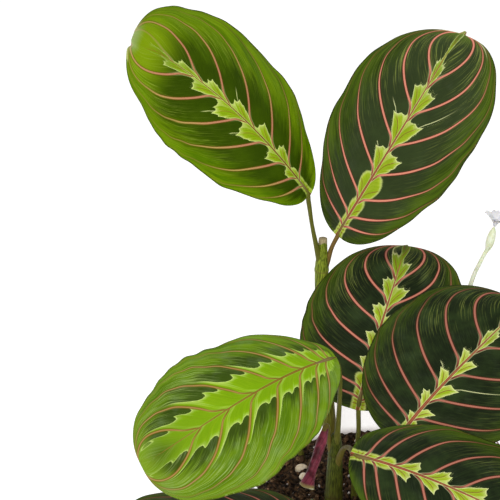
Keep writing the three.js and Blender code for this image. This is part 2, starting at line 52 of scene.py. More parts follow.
# ---- Camera, light and floor ---------------------------------------------------------------------
# A long lens looks down on the leaves from the front, as in the photograph. The light is that of a
# small studio: a wide soft box high at the front left, a weaker one at the right, and white all round.
CAMERA_AIM = Vector((-67.5, -20.0, 247.0)) * MM
CAMERA_DISTANCE = 1100 * MM
CAMERA_ELEVATION = np.radians(25)
FRAME_WIDTH = 250 * MM  # what the picture spans at the point aimed at
FLOOR_HALF = 4000 * MM
ROUND_LIGHT = 0.36  # the strength of the white light from all round


def aim(thing, target):
    """Turns a camera or lamp so that its own -Z points from where it is to the target."""
    thing.rotation_euler = (target - thing.location).to_track_quat("-Z", "Y").to_euler()


camera = bpy.data.objects.new("camera", bpy.data.cameras.new("camera"))
scene.collection.objects.link(camera)
scene.camera = camera
back = Vector((0, -np.cos(CAMERA_ELEVATION), np.sin(CAMERA_ELEVATION)))
camera.location = CAMERA_AIM + back * CAMERA_DISTANCE
camera.data.lens = camera.data.sensor_width * CAMERA_DISTANCE / FRAME_WIDTH
camera.data.clip_start = 0.05
camera.data.clip_end = 50
aim(camera, CAMERA_AIM)


def soft_box(name, place, size, power, target=(0, 0, 180)):
    """A square area lamp at place, turned to the target."""
    lamp = bpy.data.objects.new(name, bpy.data.lights.new(name, "AREA"))
    lamp.data.shape = "SQUARE"
    lamp.data.size = size * MM
    lamp.data.energy = power
    lamp.location = Vector(place) * MM
    scene.collection.objects.link(lamp)
    aim(lamp, Vector(target) * MM)


soft_box("soft_box_left", (-700, -800, 1500), 900, 11)
soft_box("soft_box_front", (-100, -1500, 900), 600, 10)
soft_box("soft_box_right", (1100, -400, 1100), 700, 4)
soft_box("soft_box_back", (-200, 1100, 1400), 900, 4)

scene.world = bpy.data.worlds.new("studio")
scene.world.use_nodes = True
studio = scene.world.node_tree.nodes["Background"]
studio.inputs["Color"].default_value = (1, 1, 1, 1)
studio.inputs["Strength"].default_value = ROUND_LIGHT
scene.view_settings.view_transform = "Standard"


class Wire:
    """What comes out of a node. Sums, products and the like of wires and numbers add math nodes."""

    def __init__(self, finish, socket):
        self.finish, self.socket = finish, socket

    def __add__(self, other):
        return self.finish.math("ADD", self, other)

    def __mul__(self, other):
        return self.finish.math("MULTIPLY", self, other)

    def __sub__(self, other):
        return self.finish.math("SUBTRACT", self, other)

    def __rsub__(self, other):
        return self.finish.math("SUBTRACT", other, self)

    def __truediv__(self, other):
        return self.finish.math("DIVIDE", self, other)

    def __abs__(self):
        return self.finish.math("ABSOLUTE", self)

    __radd__, __rmul__ = __add__, __mul__


class Finish:
    """A procedural material: each method adds one node and gives back the wire that comes out of it."""

    def __init__(self, name):
        self.material = bpy.data.materials.new(name)
        self.material.use_nodes = True
        self.tree = self.material.node_tree
        self.surface = self.tree.nodes["Principled BSDF"]

    def put(self, socket, value):
        """Links a wire, and sets a number or colour on the socket itself."""
        if isinstance(value, Wire):
            self.tree.links.new(value.socket, socket)
        elif socket.type == "RGBA":
            socket.default_value = (*value, 1)
        else:
            socket.default_value = value

    def node(self, kind, inputs, output=0, **settings):
        """A node of this kind with its settings and with inputs, a dict of socket to value."""
        node = self.tree.nodes.new(kind)
        for name, value in settings.items():
            setattr(node, name, value)
        for socket, value in inputs.items():
            self.put(node.inputs[socket], value)
        return Wire(self, node.outputs[output])

    def math(self, operation, *values):
        """One math node; Wire makes the usual ones from signs."""
        return self.node("ShaderNodeMath", dict(enumerate(values)), operation=operation)

    def step(self, value, low, high):
        """0 up to low and 1 from high on, smooth between them; low may lie above high."""
        inputs = {"Value": value, "From Min": low, "From Max": high}
        return self.node("ShaderNodeMapRange", inputs, interpolation_type="SMOOTHSTEP")

    def scale(self, value, low, high, to_low, to_high):
        """The straight line that takes low to to_low and high to to_high."""
        inputs = {"Value": value, "From Min": low, "From Max": high, "To Min": to_low, "To Max": to_high}
        return self.node("ShaderNodeMapRange", inputs)

    def mix(self, share, first, second):
        """Colours or other values from first, at share 0, to second, at share 1."""
        return self.node("ShaderNodeMix", {0: share, 6: first, 7: second}, 2, data_type="RGBA")

    def dim(self, colour, factor):
        """The colour times the factor."""
        return self.node("ShaderNodeVectorMath", {0: colour, "Scale": factor}, operation="SCALE")

    def profile(self, value, points):
        """Straight lines through points of (value, height), with heights from 0 to 1."""
        node = self.tree.nodes.new("ShaderNodeValToRGB")
        stops = node.color_ramp.elements
        for place, _ in points[1:-1]:
            stops.new(place)
        for stop, (place, height) in zip(stops, points):
            stop.position = place
            stop.color = (height, height, height, 1)
        self.put(node.inputs["Fac"], value)
        return Wire(self, node.outputs["Color"])

    def noise(self, where, size, detail=2.0, roughness=0.5):
        """Smooth noise, 0 to 1, whose patches are about size millimetres across on object coordinates."""
        inputs = {"Vector": where, "Scale": 1 / (size * MM), "Detail": detail, "Roughness": roughness}
        return self.node("ShaderNodeTexNoise", inputs)

    def place(self):
        """Object coordinates, in metres."""
        return self.node("ShaderNodeTexCoord", {}, "Object")

    def field(self, name):
        """A number that the mesh holds for each of its points."""
        return self.node("ShaderNodeAttribute", {}, "Fac", attribute_name=name)

    def relief(self, height, depth, below=None):
        """Bumps of that depth in millimetres where height is 1."""
        inputs = {"Height": height, "Distance": depth * MM, "Strength": 1.0}
        if below is not None:
            inputs["Normal"] = below
        return self.node("ShaderNodeBump", inputs, "Normal")

    def done(self, **sockets):
        """Sets the sockets of the surface, such as Base_Color, and gives back the material."""
        for name, value in sockets.items():
            self.put(self.surface.inputs[name.replace("_", " ")], value)
        return self.material


def floor_paint():
    """White paper that lies evenly lit, with shades too faint to see."""
    finish = Finish("floor_paper")
    shade = finish.noise(finish.place(), 600)
    colour = finish.mix(shade, (0.93, 0.93, 0.93), (0.96, 0.96, 0.955))
    return finish.done(Base_Color=colour, Roughness=0.9, Emission_Color=colour, Emission_Strength=0.5)


floor_mesh = bpy.data.meshes.new("floor")
corners = [(-1, -1), (1, -1), (1, 1), (-1, 1)]
floor_mesh.from_pydata([(x * FLOOR_HALF, y * FLOOR_HALF, 0) for x, y in corners], [], [(0, 1, 2, 3)])
floor_mesh.materials.append(floor_paint())
floor = bpy.data.objects.new("floor", floor_mesh)
scene.collection.objects.link(floor)


# ---- Pot -----------------------------------------------------------------------------------------
# A plain white glazed stoneware pot, turned on a wheel: tapered wall, rounded rim and foot. Its inner
# wall shows a faint brown line where the watered soil has marked the glaze.
POT_HEIGHT = 112
POT_RIM_RADIUS = 72
POT_BASE_RADIUS = 50
POT_WALL = 4
POT_FLOOR = 6
POT_EDGE = 2
RIM_EDGE = 1.96  # a little less than half the wall, so that its two bends don't touch
SOIL_TOP = 95


def grid_faces(rows, columns, close=False):
    """Four-sided faces of a grid of points kept row by row; close joins its last column to its first."""
    index = np.arange(rows * columns).reshape(rows, columns)
    if close:
        index = np.hstack([index, index[:, :1]])
    corners = [index[:-1, :-1], index[:-1, 1:], index[1:, 1:], index[1:, :-1]]
    return np.stack(corners, -1).reshape(-1, 4).tolist()


def fan_faces(ring, centre, upward):
    """Triangles from a closed ring of points to one centre, facing along or against the ring's turn."""
    after = np.roll(ring, -1)
    order = [ring, after] if upward else [after, ring]
    return np.stack([*order, np.full(len(ring), centre)], -1).tolist()


def tube_faces(rows, around):
    """A grid of rings whose first and last ring are closed by fans to the two points kept after it."""
    faces = grid_faces(rows, around, close=True)
    faces += fan_faces(np.arange(around), rows * around, False)
    return faces + fan_faces(np.arange(around) + (rows - 1) * around, rows * around + 1, True)


def new_piece(name, points, faces, materials, replaces, fields=None, second=None):
    """A smooth mesh piece from points in millimetres, with its fields, that rides on the plant's body.
    Faces from index second on take the second material."""
    mesh = bpy.data.meshes.new(name)
    mesh.from_pydata((np.asarray(points).reshape(-1, 3) * MM).tolist(), [], faces)
    mesh.shade_smooth()
    for material in materials:
        mesh.materials.append(material)
    if second is not None:
        use = (np.arange(len(mesh.polygons)) >= second).astype(np.int32)
        mesh.polygons.foreach_set("material_index", use)
    for field, values in (fields or {}).items():
        holder = mesh.attributes.new(field, "FLOAT", "POINT")
        holder.data.foreach_set("value", np.asarray(values, np.float32).ravel())
    piece = bpy.data.objects.new(name, mesh)
    scene.collection.objects.link(piece)
    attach(piece, "root")
    if replaces:
        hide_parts(replaces)
    return piece


def rounded(corner, start, end, radius, steps=6):
    """A bend about a profile's corner: a parabola from radius before the corner to radius after it."""
    corner, start, end = (np.array(p, float) for p in (corner, start, end))
    first = corner + (start - corner) / np.linalg.norm(start - corner) * radius
    last = corner + (end - corner) / np.linalg.norm(end - corner) * radius
    t = np.linspace(0, 1, steps)[:, None]
    return (1 - t) ** 2 * first + 2 * t * (1 - t) * corner + t**2 * last


def turned(profile, around):
    """A profile of (radius, height) from pole to pole, turned round Z: x = r cos a, y = r sin a."""
    radius, height = np.asarray(profile, float).T
    angle = np.arange(around) / around * 2 * np.pi
    ring = np.stack([np.cos(angle), np.sin(angle)], -1)
    sides = radius[1:-1, None, None] * ring
    heights = np.broadcast_to(height[1:-1, None, None], (*sides.shape[:2], 1))
    points = np.concatenate([sides, heights], -1).reshape(-1, 3)
    poles = [[0, 0, height[0]], [0, 0, height[-1]]]
    return np.vstack([points, poles]), tube_faces(len(radius) - 2, around)


def pot_profile():
    """Radius and height along the pot's section: from under its middle, over the rim, to its floor."""
    foot, rim = (POT_BASE_RADIUS, 0), (POT_RIM_RADIUS, POT_HEIGHT)
    inner_rim = (POT_RIM_RADIUS - POT_WALL, POT_HEIGHT)
    inner_foot = (POT_BASE_RADIUS - POT_WALL, POT_FLOOR)
    share = np.linspace(0, 1, 30)[1:-1, None]
    outer_wall = np.array(foot) + (np.array(rim) - foot) * share
    inner_wall = np.array(inner_rim) + (np.array(inner_foot) - inner_rim) * share
    return np.vstack([
        [(0, 0)],
        rounded(foot, (0, 0), rim, POT_EDGE),
        outer_wall,
        rounded(rim, foot, inner_rim, RIM_EDGE),
        rounded(inner_rim, rim, inner_foot, RIM_EDGE),
        inner_wall,
        rounded(inner_foot, inner_rim, (0, POT_FLOOR), POT_EDGE),
        [(0, POT_FLOOR)],
    ])


def glaze():
    """Off-white, clouded and pinholed by noise. Inside the pot, nearer the axis than the middle of its wall,
    a faint brown line runs over the soil, and above the soil the white glows a little: painted light that
    lifts the shade the leaves cast on that wall."""
    finish = Finish("pot_glaze")
    where = finish.place()
    height = finish.node("ShaderNodeSeparateXYZ", {"Vector": where}, "Z")
    cloud = finish.noise(where, 22, 3)
    pinholes = finish.step(finish.noise(where, 0.9, 1), 0.76, 0.82)
    white = finish.mix(cloud, (0.9, 0.9, 0.89), (0.94, 0.94, 0.93))
    white = finish.mix(pinholes * 0.35, white, (0.55, 0.52, 0.46))
    ragged = height + finish.noise(where, 7, 3) * (5 * MM)
    above_soil = finish.step(ragged, (SOIL_TOP + 7) * MM, (SOIL_TOP + 1) * MM)
    in_pot = finish.step(height, (POT_FLOOR + 20) * MM, (POT_FLOOR + 70) * MM)
    centre = finish.node("ShaderNodeVectorMath", {0: where, 1: (1, 1, 0)}, operation="MULTIPLY")
    from_axis = finish.node("ShaderNodeVectorMath", {0: centre}, "Value", operation="LENGTH")
    mid_base, mid_rim = (POT_BASE_RADIUS - POT_WALL / 2) * MM, (POT_RIM_RADIUS - POT_WALL / 2) * MM
    wall_line = finish.scale(height, 0, POT_HEIGHT * MM, mid_base, mid_rim)
    inside = finish.math("LESS_THAN", from_axis, wall_line)
    stain = above_soil * in_pot * inside
    white = finish.mix(stain * 0.25, white, (0.5, 0.38, 0.26))
    # Painted light: the inner wall above the soil glows, to lift the shade that the leaves cast on it.
    painted_glow = inside * 0.8 * finish.step(height, (SOIL_TOP - 4) * MM, (SOIL_TOP + 4) * MM)
    shine = finish.scale(cloud, 0.3, 0.7, 0.22, 0.34)
    skin = finish.relief(finish.noise(where, 9, 2), 0.012)
    return finish.done(Base_Color=white, Roughness=shine, Normal=skin, Coat_Weight=0.3, Coat_Roughness=0.15,
                       Emission_Color=white, Emission_Strength=painted_glow)


pot_points, pot_faces = turned(pot_profile(), 192)
new_piece("glazed_pot", pot_points, pot_faces, [glaze()], "pot")


# ---- Soil ----------------------------------------------------------------------------------------
# Damp peat that fills the pot to a finger's breadth under the rim: an uneven crumbly top, with loose
# crumbs, bits of bark, pale fibres and white grains of perlite lying on it.
SOIL_ROUGHNESS = 1.6
SOIL_RADIUS = 63
SOIL_RINGS = 110
SOIL_AROUND = 300


def waves(x, y, length, seed, count=14):
    """A rough surface, about -1 to 1: the scaled sum of count sine waves near that length, each with its
    own direction and phase."""
    random = np.random.default_rng(seed)
    turn = random.uniform(0, 2 * np.pi, count)
    number = 2 * np.pi / (length * random.uniform(0.7, 1.4, count))
    phase = random.uniform(0, 2 * np.pi, count)
    run = x[..., None] * np.cos(turn) + y[..., None] * np.sin(turn)
    return np.sin(run * number + phase).sum(-1) * np.sqrt(2 / count) * 0.7


def soil_height(x, y):
    """The frame's gentle clods and swells, with finer lumps on them."""
    clods = np.sin(0.55 * x + 0.3 * y) * np.sin(0.47 * y - 0.2 * x + 1)
    swell = np.sin(0.09 * x + 1) * np.cos(0.08 * y)
    grain = np.sin(0.9 * x - 0.7 * y)
    coarse = SOIL_TOP + SOIL_ROUGHNESS * (0.6 * clods + 0.5 * swell + 0.3 * grain)
    lumpy = coarse + 0.7 * waves(x, y, 4.5, 1) + 0.45 * waves(x, y, 2.0, 2)
    return lumpy + 0.25 * np.abs(waves(x, y, 1.1, 3))


def peat():
    """Brown by two noises. The tone field lifts it to bark and fibre near 1 and to white grains past 1.5."""
    finish = Finish("soil_peat")
    where = finish.place()
    tone = finish.field("tone")
    lumps = finish.noise(where, 3.2, 4, 0.65)
    fine = finish.noise(where, 0.7, 3, 0.7)
    brown = finish.mix(finish.step(lumps, 0.35, 0.65), (0.003, 0.002, 0.0012), (0.03, 0.019, 0.009))
    brown = finish.mix(finish.step(tone, 0.3, 0.8), brown, (0.095, 0.055, 0.025))
    brown = finish.mix(finish.step(tone * fine, 0.46, 0.56), brown, (0.32, 0.19, 0.09))
    brown = finish.mix(finish.step(tone, 1.45, 1.55), brown, (0.75, 0.72, 0.66))
    height = lumps * 0.7 + fine * 0.4
    damp = finish.scale(finish.noise(where, 9, 2), 0.35, 0.65, 0.55, 0.95)
    return finish.done(Base_Color=brown, Roughness=damp, Normal=finish.relief(height, 0.9),
                       Specular_IOR_Level=0.15)


soil_finish = peat()
top_radius = np.linspace(SOIL_RADIUS, 0, SOIL_RINGS)
lower = [(0, POT_FLOOR + 1), (POT_BASE_RADIUS - POT_WALL - POT_EDGE - 1, POT_FLOOR + 1),
         (POT_BASE_RADIUS - POT_WALL - 0.5, POT_FLOOR + POT_EDGE + 1)]
soil_profile = lower + [(radius, SOIL_TOP) for radius in top_radius]
soil_points, soil_faces = turned(soil_profile, SOIL_AROUND)
on_top = soil_points[:, 2] > SOIL_TOP - 1
top_x, top_y = soil_points[on_top, 0], soil_points[on_top, 1]
soil_points[on_top, 2] = soil_height(top_x, top_y)
soil_tone = 0.5 + 0.35 * waves(soil_points[:, 0], soil_points[:, 1], 3.0, 5)
new_piece("peat", soil_points, soil_faces, [soil_finish], "soil", {"tone": soil_tone})


def icosahedron():
    """Its twelve corners, on the unit sphere, and twenty faces: two poles and two rings of five."""
    angle = np.arange(5) * np.radians(72)
    height = 1 / np.sqrt(5)
    upper = np.stack([2 * height * np.cos(angle), 2 * height * np.sin(angle), np.full(5, height)], -1)
    lower_ring = upper * (-1, -1, -1)
    lower_ring = np.roll(lower_ring, 2, axis=0)
    corners = np.vstack([[[0, 0, 1]], upper, lower_ring, [[0, 0, -1]]])
    here, after = np.arange(5), (np.arange(5) + 1) % 5
    faces = [(0, 1 + a, 1 + b) for a, b in zip(here, after)]
    faces += [(11, 6 + b, 6 + a) for a, b in zip(here, after)]
    for a, b in zip(here, after):
        faces += [(1 + a, 6 + a, 1 + b), (1 + b, 6 + a, 6 + b)]
    return corners, np.array(faces)


def crumbs(count, sizes, flatness, seed, tones):
    """Count lumpy grains strewn over the soil: each an icosahedron with shaken corners, stretched, turned
    and set a little way into the surface."""
    random = np.random.default_rng(seed)
    corners, faces = icosahedron()
    shaken = corners * random.uniform(0.65, 1.15, (count, 12, 1))
    size = np.exp(random.uniform(np.log(sizes[0]), np.log(sizes[1]), (count, 1)))
    stretch = size * random.uniform((0.7, 0.5, flatness), (1.3, 1.0, flatness + 0.3), (count, 3))
    turn = random.uniform(0, 2 * np.pi, count)
    tilt = random.normal(0, 0.35, (count, 2))
    grain = shaken * stretch[:, None, :]
    grain[..., 2] += grain[..., 0] * tilt[:, :1] + grain[..., 1] * tilt[:, 1:]
    cos, sin = np.cos(turn)[:, None], np.sin(turn)[:, None]
    x = grain[..., 0] * cos - grain[..., 1] * sin
    y = grain[..., 0] * sin + grain[..., 1] * cos
    away = (SOIL_RADIUS - 1.2 * sizes[1]) * np.sqrt(random.uniform(0, 1, count))
    round_ = random.uniform(0, 2 * np.pi, count)
    centre_x, centre_y = away * np.cos(round_), away * np.sin(round_)
    for number in range(1, 6):
        low, high = (corner[:2] / MM for corner in map(np.array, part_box("pebble_%d" % number)))
        off_x, off_y = centre_x - (low[0] + high[0]) / 2, centre_y - (low[1] + high[1]) / 2
        near = np.hypot(off_x, off_y)
        clear = (high - low).max() / 2 + sizes[1]
        push = np.maximum(clear / np.maximum(near, 0.1), 1)
        centre_x, centre_y = centre_x + off_x * (push - 1), centre_y + off_y * (push - 1)
    centre_z = soil_height(centre_x, centre_y) + 0.25 * stretch[:, 2]
    points = np.stack([x + centre_x[:, None], y + centre_y[:, None], grain[..., 2] + centre_z[:, None]], -1)
    all_faces = faces[None] + 12 * np.arange(count)[:, None, None]
    tone = np.repeat(random.uniform(*tones, count), 12)
    return points.reshape(-1, 3), all_faces.reshape(-1, 3).tolist(), tone


for name, count, sizes, flatness, seed, tones in (
    ("soil_crumbs", 2600, (0.5, 2.1), 0.45, 11, (0.0, 0.95)),
    ("bark_bits", 240, (1.2, 3.6), 0.2, 12, (0.35, 1.1)),
    ("perlite_grains", 110, (0.5, 1.5), 0.6, 13, (1.6, 1.7)),
):
    grain_points, grain_faces, grain_tone = crumbs(count, sizes, flatness, seed, tones)
    new_piece(name, grain_points, grain_faces, [soil_finish], None, {"tone": grain_tone})


# ---- Pebbles -------------------------------------------------------------------------------------
# A few cream river pebbles that came with the potting mix, half sunk in it, worn smooth.
PEBBLE_TURNS = {"pebble_1": 20, "pebble_2": 70, "pebble_3": -30, "pebble_4": 50, "pebble_5": 10}
PEBBLE_HALVES = {
    "pebble_1": (3.9, 3, 2.7), "pebble_2": (2.8, 2.4, 2), "pebble_3": (3.4, 2.6, 2.2),
    "pebble_4": (3.8, 2.8, 2.4), "pebble_5": (3.2, 2.6, 2.2),
}
PEBBLE_ROWS = 24
PEBBLE_AROUND = 40


def pebble_stone():
    """Cream stone, clouded by noise, with brown specks where a finer noise peaks."""
    finish = Finish("pebble_stone")
    where = finish.place()
    cloud = finish.noise(where, 2.4, 3)
    cream = finish.mix(finish.step(cloud, 0.35, 0.65), (0.74, 0.62, 0.4), (0.9, 0.82, 0.62))
    specks = finish.step(finish.noise(where, 0.5, 1), 0.66, 0.74)
    cream = finish.mix(specks * 0.6, cream, (0.32, 0.22, 0.14))
    return finish.done(Base_Color=cream, Roughness=0.55, Normal=finish.relief(cloud, 0.25))


def pebble(half, turn, seed):
    """An ellipsoid of those half sizes, its radius swelled and dented by low waves over its face."""
    down = np.linspace(0, np.pi, PEBBLE_ROWS + 2)[1:-1, None]
    round_ = np.arange(PEBBLE_AROUND) / PEBBLE_AROUND * 2 * np.pi
    x = np.sin(down) * np.cos(round_)
    y = np.sin(down) * np.sin(round_)
    z = np.cos(down) * np.ones(PEBBLE_AROUND)
    dents = 0.97 + 0.03 * waves(x + z, y - z, 1.6, seed)
    ring = np.stack([x, y, z], -1) * dents[..., None] * half
    poles = [[0, 0, half[2] * 0.97], [0, 0, -half[2] * 0.97]]
    points = np.vstack([ring.reshape(-1, 3), poles])
    cos, sin = np.cos(np.radians(turn)), np.sin(np.radians(turn))
    points = points @ np.array([[cos, sin, 0], [-sin, cos, 0], [0, 0, 1]])
    return points, [face[::-1] for face in tube_faces(PEBBLE_ROWS, PEBBLE_AROUND)]


stone = pebble_stone()
for seed, node in enumerate(PEBBLE_TURNS):
    low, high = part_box(node)
    stone_points, stone_faces = pebble(np.array(PEBBLE_HALVES[node]), PEBBLE_TURNS[node], seed)
    stone_points = stone_points + np.array(low + high) / 2 / MM
    new_piece("cream_" + node, stone_points, stone_faces, [stone], node)


# ---- Stems ---------------------------------------------------------------------------------------
# Three leafy stems rise from the soil: smooth, olive green and faintly ridged, with a swollen node
# where a leaf leaves and, on the tall one, an old dry cut at the top. Rows are x, y, z and radius.
STEMS = {
    "stem_tall": [(-22, 48, 77, 4.4), (-23, 51, 101, 4.2), (-24.5, 57, 121, 3.9), (-26.6, 65, 150, 3.7),
                  (-28.5, 70, 180, 3.6), (-28.2, 70, 196, 4), (-28, 70, 203, 3), (-27.8, 70, 212, 2.5)],
    "stem_front": [(-24, -28, 77, 4.9), (-24, -30, 101, 5), (-23.6, -31, 124, 4.5),
                   (-23.4, -31.5, 140, 3.7), (-23.2, -32, 148, 2.6)],
    "stem_right": [(34, 36, 77, 4.2), (38, 42, 101, 4.1), (42, 46, 121, 3.8), (60, 56, 152, 3.5),
                   (79, 64, 186, 3.2), (87, 66, 206, 3)],
}
LOWER_NODE, UPPER_NODE = 0.36, 0.68  # shares of the way up a stem
CUT_HEIGHT = 208.6  # where the tall stem turns dry
# How far each stem's colour is dimmed: painted shade on the front stem, which stands under the leaves.
STEM_PAINTED_SHADE = {"stem_tall": 1.0, "stem_front": 0.33, "stem_right": 1.0}


def smooth_path(rows, count):
    """A curve through rows of numbers: between two rows, the cubic whose slope at each row is half the
    way between that row's neighbours."""
    rows = np.asarray(rows, float)
    slope = np.gradient(rows, axis=0)
    place = np.linspace(0, len(rows) - 1, count)
    start = np.minimum(place.astype(int), len(rows) - 2)
    t = (place - start)[:, None]
    first, last = rows[start], rows[start + 1]
    rise = slope[start], slope[start + 1]
    return (
        first * (2 * t**3 - 3 * t**2 + 1)
        + rise[0] * (t**3 - 2 * t**2 + t)
        + last * (3 * t**2 - 2 * t**3)
        + rise[1] * (t**3 - t**2)
    )


def path_frames(path):
    """At each point of a path, two directions across it: one level with the turn of the whole path and
    one square to both."""
    along = np.gradient(path, axis=0)
    along /= np.linalg.norm(along, axis=1, keepdims=True)
    chord = path[-1] - path[0]
    level = np.array([-chord[1], chord[0], 0.0]) + (1e-3, 0, 0)
    up = np.cross(along, level)
    up /= np.linalg.norm(up, axis=1, keepdims=True)
    return np.cross(up, along), up, along


def rod(rows, count, around, section=None):
    """A closed rod: round each point of the path, a ring of that radius times section(share, angle).
    Gives points, faces, and each point's share of the way and angle."""
    path = smooth_path(rows, count)
    level, up, _ = path_frames(path[:, :3])
    share = np.linspace(0, 1, count)[:, None] * np.ones(around)
    angle = np.arange(around) / around * 2 * np.pi * np.ones((count, 1))
    radius = path[:, 3:4] * (np.ones((count, around)) if section is None else section(share, angle))
    ring = level[:, None] * np.cos(angle)[..., None] + up[:, None] * np.sin(angle)[..., None]
    points = (path[:, None, :3] + ring * radius[..., None]).reshape(-1, 3)
    points = np.vstack([points, path[:1, :3], path[-1:, :3]])
    share = np.append(share.ravel(), [0, 1])
    angle = np.append(angle.ravel(), [0, 0])
    return points, tube_faces(count, around), share, angle


def stem_section(share, angle):
    """Fine ridges round the stem, and two nodes where it swells by a twelfth."""
    ridges = 0.018 * np.sin(13 * angle + 3 * share) + 0.012 * np.sin(29 * angle)
    lower, upper = (share - LOWER_NODE) / 0.02, (share - UPPER_NODE) / 0.016
    return 0.92 + ridges + 0.08 * (np.exp(-(lower**2)) + np.exp(-(upper**2)))


def stem_skin():
    """Green with lines drawn out along the stem, browner low down, ringed at the nodes and dry at the cut,
    and dimmed by the tone field, which paints shade on the front stem. The noise reads the cosine and sine
    of the angle, so that it closes round the stem."""
    finish = Finish("stem_skin")
    where = finish.place()
    share, angle = finish.field("share"), finish.field("angle")
    across = finish.math("SINE", angle) * 3.2
    other = finish.math("COSINE", angle) * 3.2
    run = share * 7.0
    lines_at = finish.node("ShaderNodeCombineXYZ", {"X": across, "Y": other, "Z": run})
    lines = finish.node("ShaderNodeTexNoise", {"Vector": lines_at, "Scale": 3.0, "Detail": 3.0})
    patches = finish.noise(where, 9, 3)
    green = finish.mix(finish.step(lines, 0.36, 0.66), (0.06, 0.085, 0.006), (0.28, 0.35, 0.03))
    brown = finish.mix(lines, (0.1, 0.08, 0.01), (0.24, 0.24, 0.04))
    low = finish.step(share + patches * 0.5, 0.75, 0.35)
    green = finish.mix(low, green, brown)
    rings = finish.step(abs(share - LOWER_NODE), 0.012, 0.003)
    rings = rings + finish.step(abs(share - UPPER_NODE), 0.01, 0.003)
    green = finish.mix(rings * 0.45, green, (0.13, 0.09, 0.03))
    dry = finish.mix(lines, (0.2, 0.14, 0.06), (0.55, 0.48, 0.28))
    green = finish.mix(finish.step(finish.field("cut"), 0.35, 0.65), green, dry)
    # Painted shade: the tone field darkens the stem's colour, deeply on the front stem under the leaves.
    green = finish.dim(green, finish.field("tone"))
    gloss = finish.scale(patches, 0.3, 0.7, 0.36, 0.55)
    return finish.done(Base_Color=green, Roughness=gloss, Normal=finish.relief(lines, 0.15),
                       Specular_IOR_Level=0.15, Specular_Tint=(1, 0.95, 0.6))


stem_finish = stem_skin()
for node, rows in STEMS.items():
    stem_points, stem_faces, share, angle = rod(rows, 90, 48, stem_section)
    cut = np.clip((stem_points[:, 2] - CUT_HEIGHT + 0.6 * np.sin(3 * angle)) / 2, 0, 1)
    cut *= node == "stem_tall"
    # the tone field carries the painted shade into the stem's skin
    tone = np.full(len(stem_points), STEM_PAINTED_SHADE[node])
    new_piece(node.replace("stem_", "stalk_of_"), stem_points, stem_faces, [stem_finish], node,
              {"share": share, "angle": angle, "cut": cut, "tone": tone})


# ---- Leaves --------------------------------------------------------------------------------------
# Each leaf is one oval blade on its own stalk. The blade is a skin half a millimetre thick, bowed down
# to its rippled margins and lightly quilted between sunk side veins, which sweep forward to the tip.
# A lime feather follows the midrib, dark green lies between the veins, and the underside is maroon.
BLADE_FULLNESS = 0.45
BLADE_BODY_END = 0.975
BLADE_SKEW = 0.1
BLADE_TIP_WIDTH = 0.08
BLADE_TIP_SHARE = 0.06
BASE_LOBE = 2.5
RIPPLES = 3
TIP_CURL_START = 0.82
BLADE_THICKNESS = 0.5
RIB_DEPTH = 0.9  # of the midrib's swelling under the blade, at its base
RIB_WIDTH = 1.3
TUCK_START = 0.945  # the share of the length from which the tip bends down
NOTCH_PLACE = -4.6  # sideways from the midrib
NOTCH_WIDTH = 1.7
FINE_GRID = (220, 141)  # rows and columns of the blades that the photograph shows
COARSE_GRID = (110, 77)
QUILT_HEIGHT = 0.55
VEIN_SPREAD = 0.36  # how far forward a side vein runs, for one that starts at the tip
VEIN_RECOIL = 0.03
VEIN_HUG = 0.22  # of the spacing: how far a side vein bends down along the midrib where it joins it
VEIN_HUG_WIDTH = 2.4
STALK_HUES = {"leaf_upper_right": 0.85, "leaf_front": 0.45}  # from green at 0 to tan at 1
PLAIN_STALK_HUE = 0.2

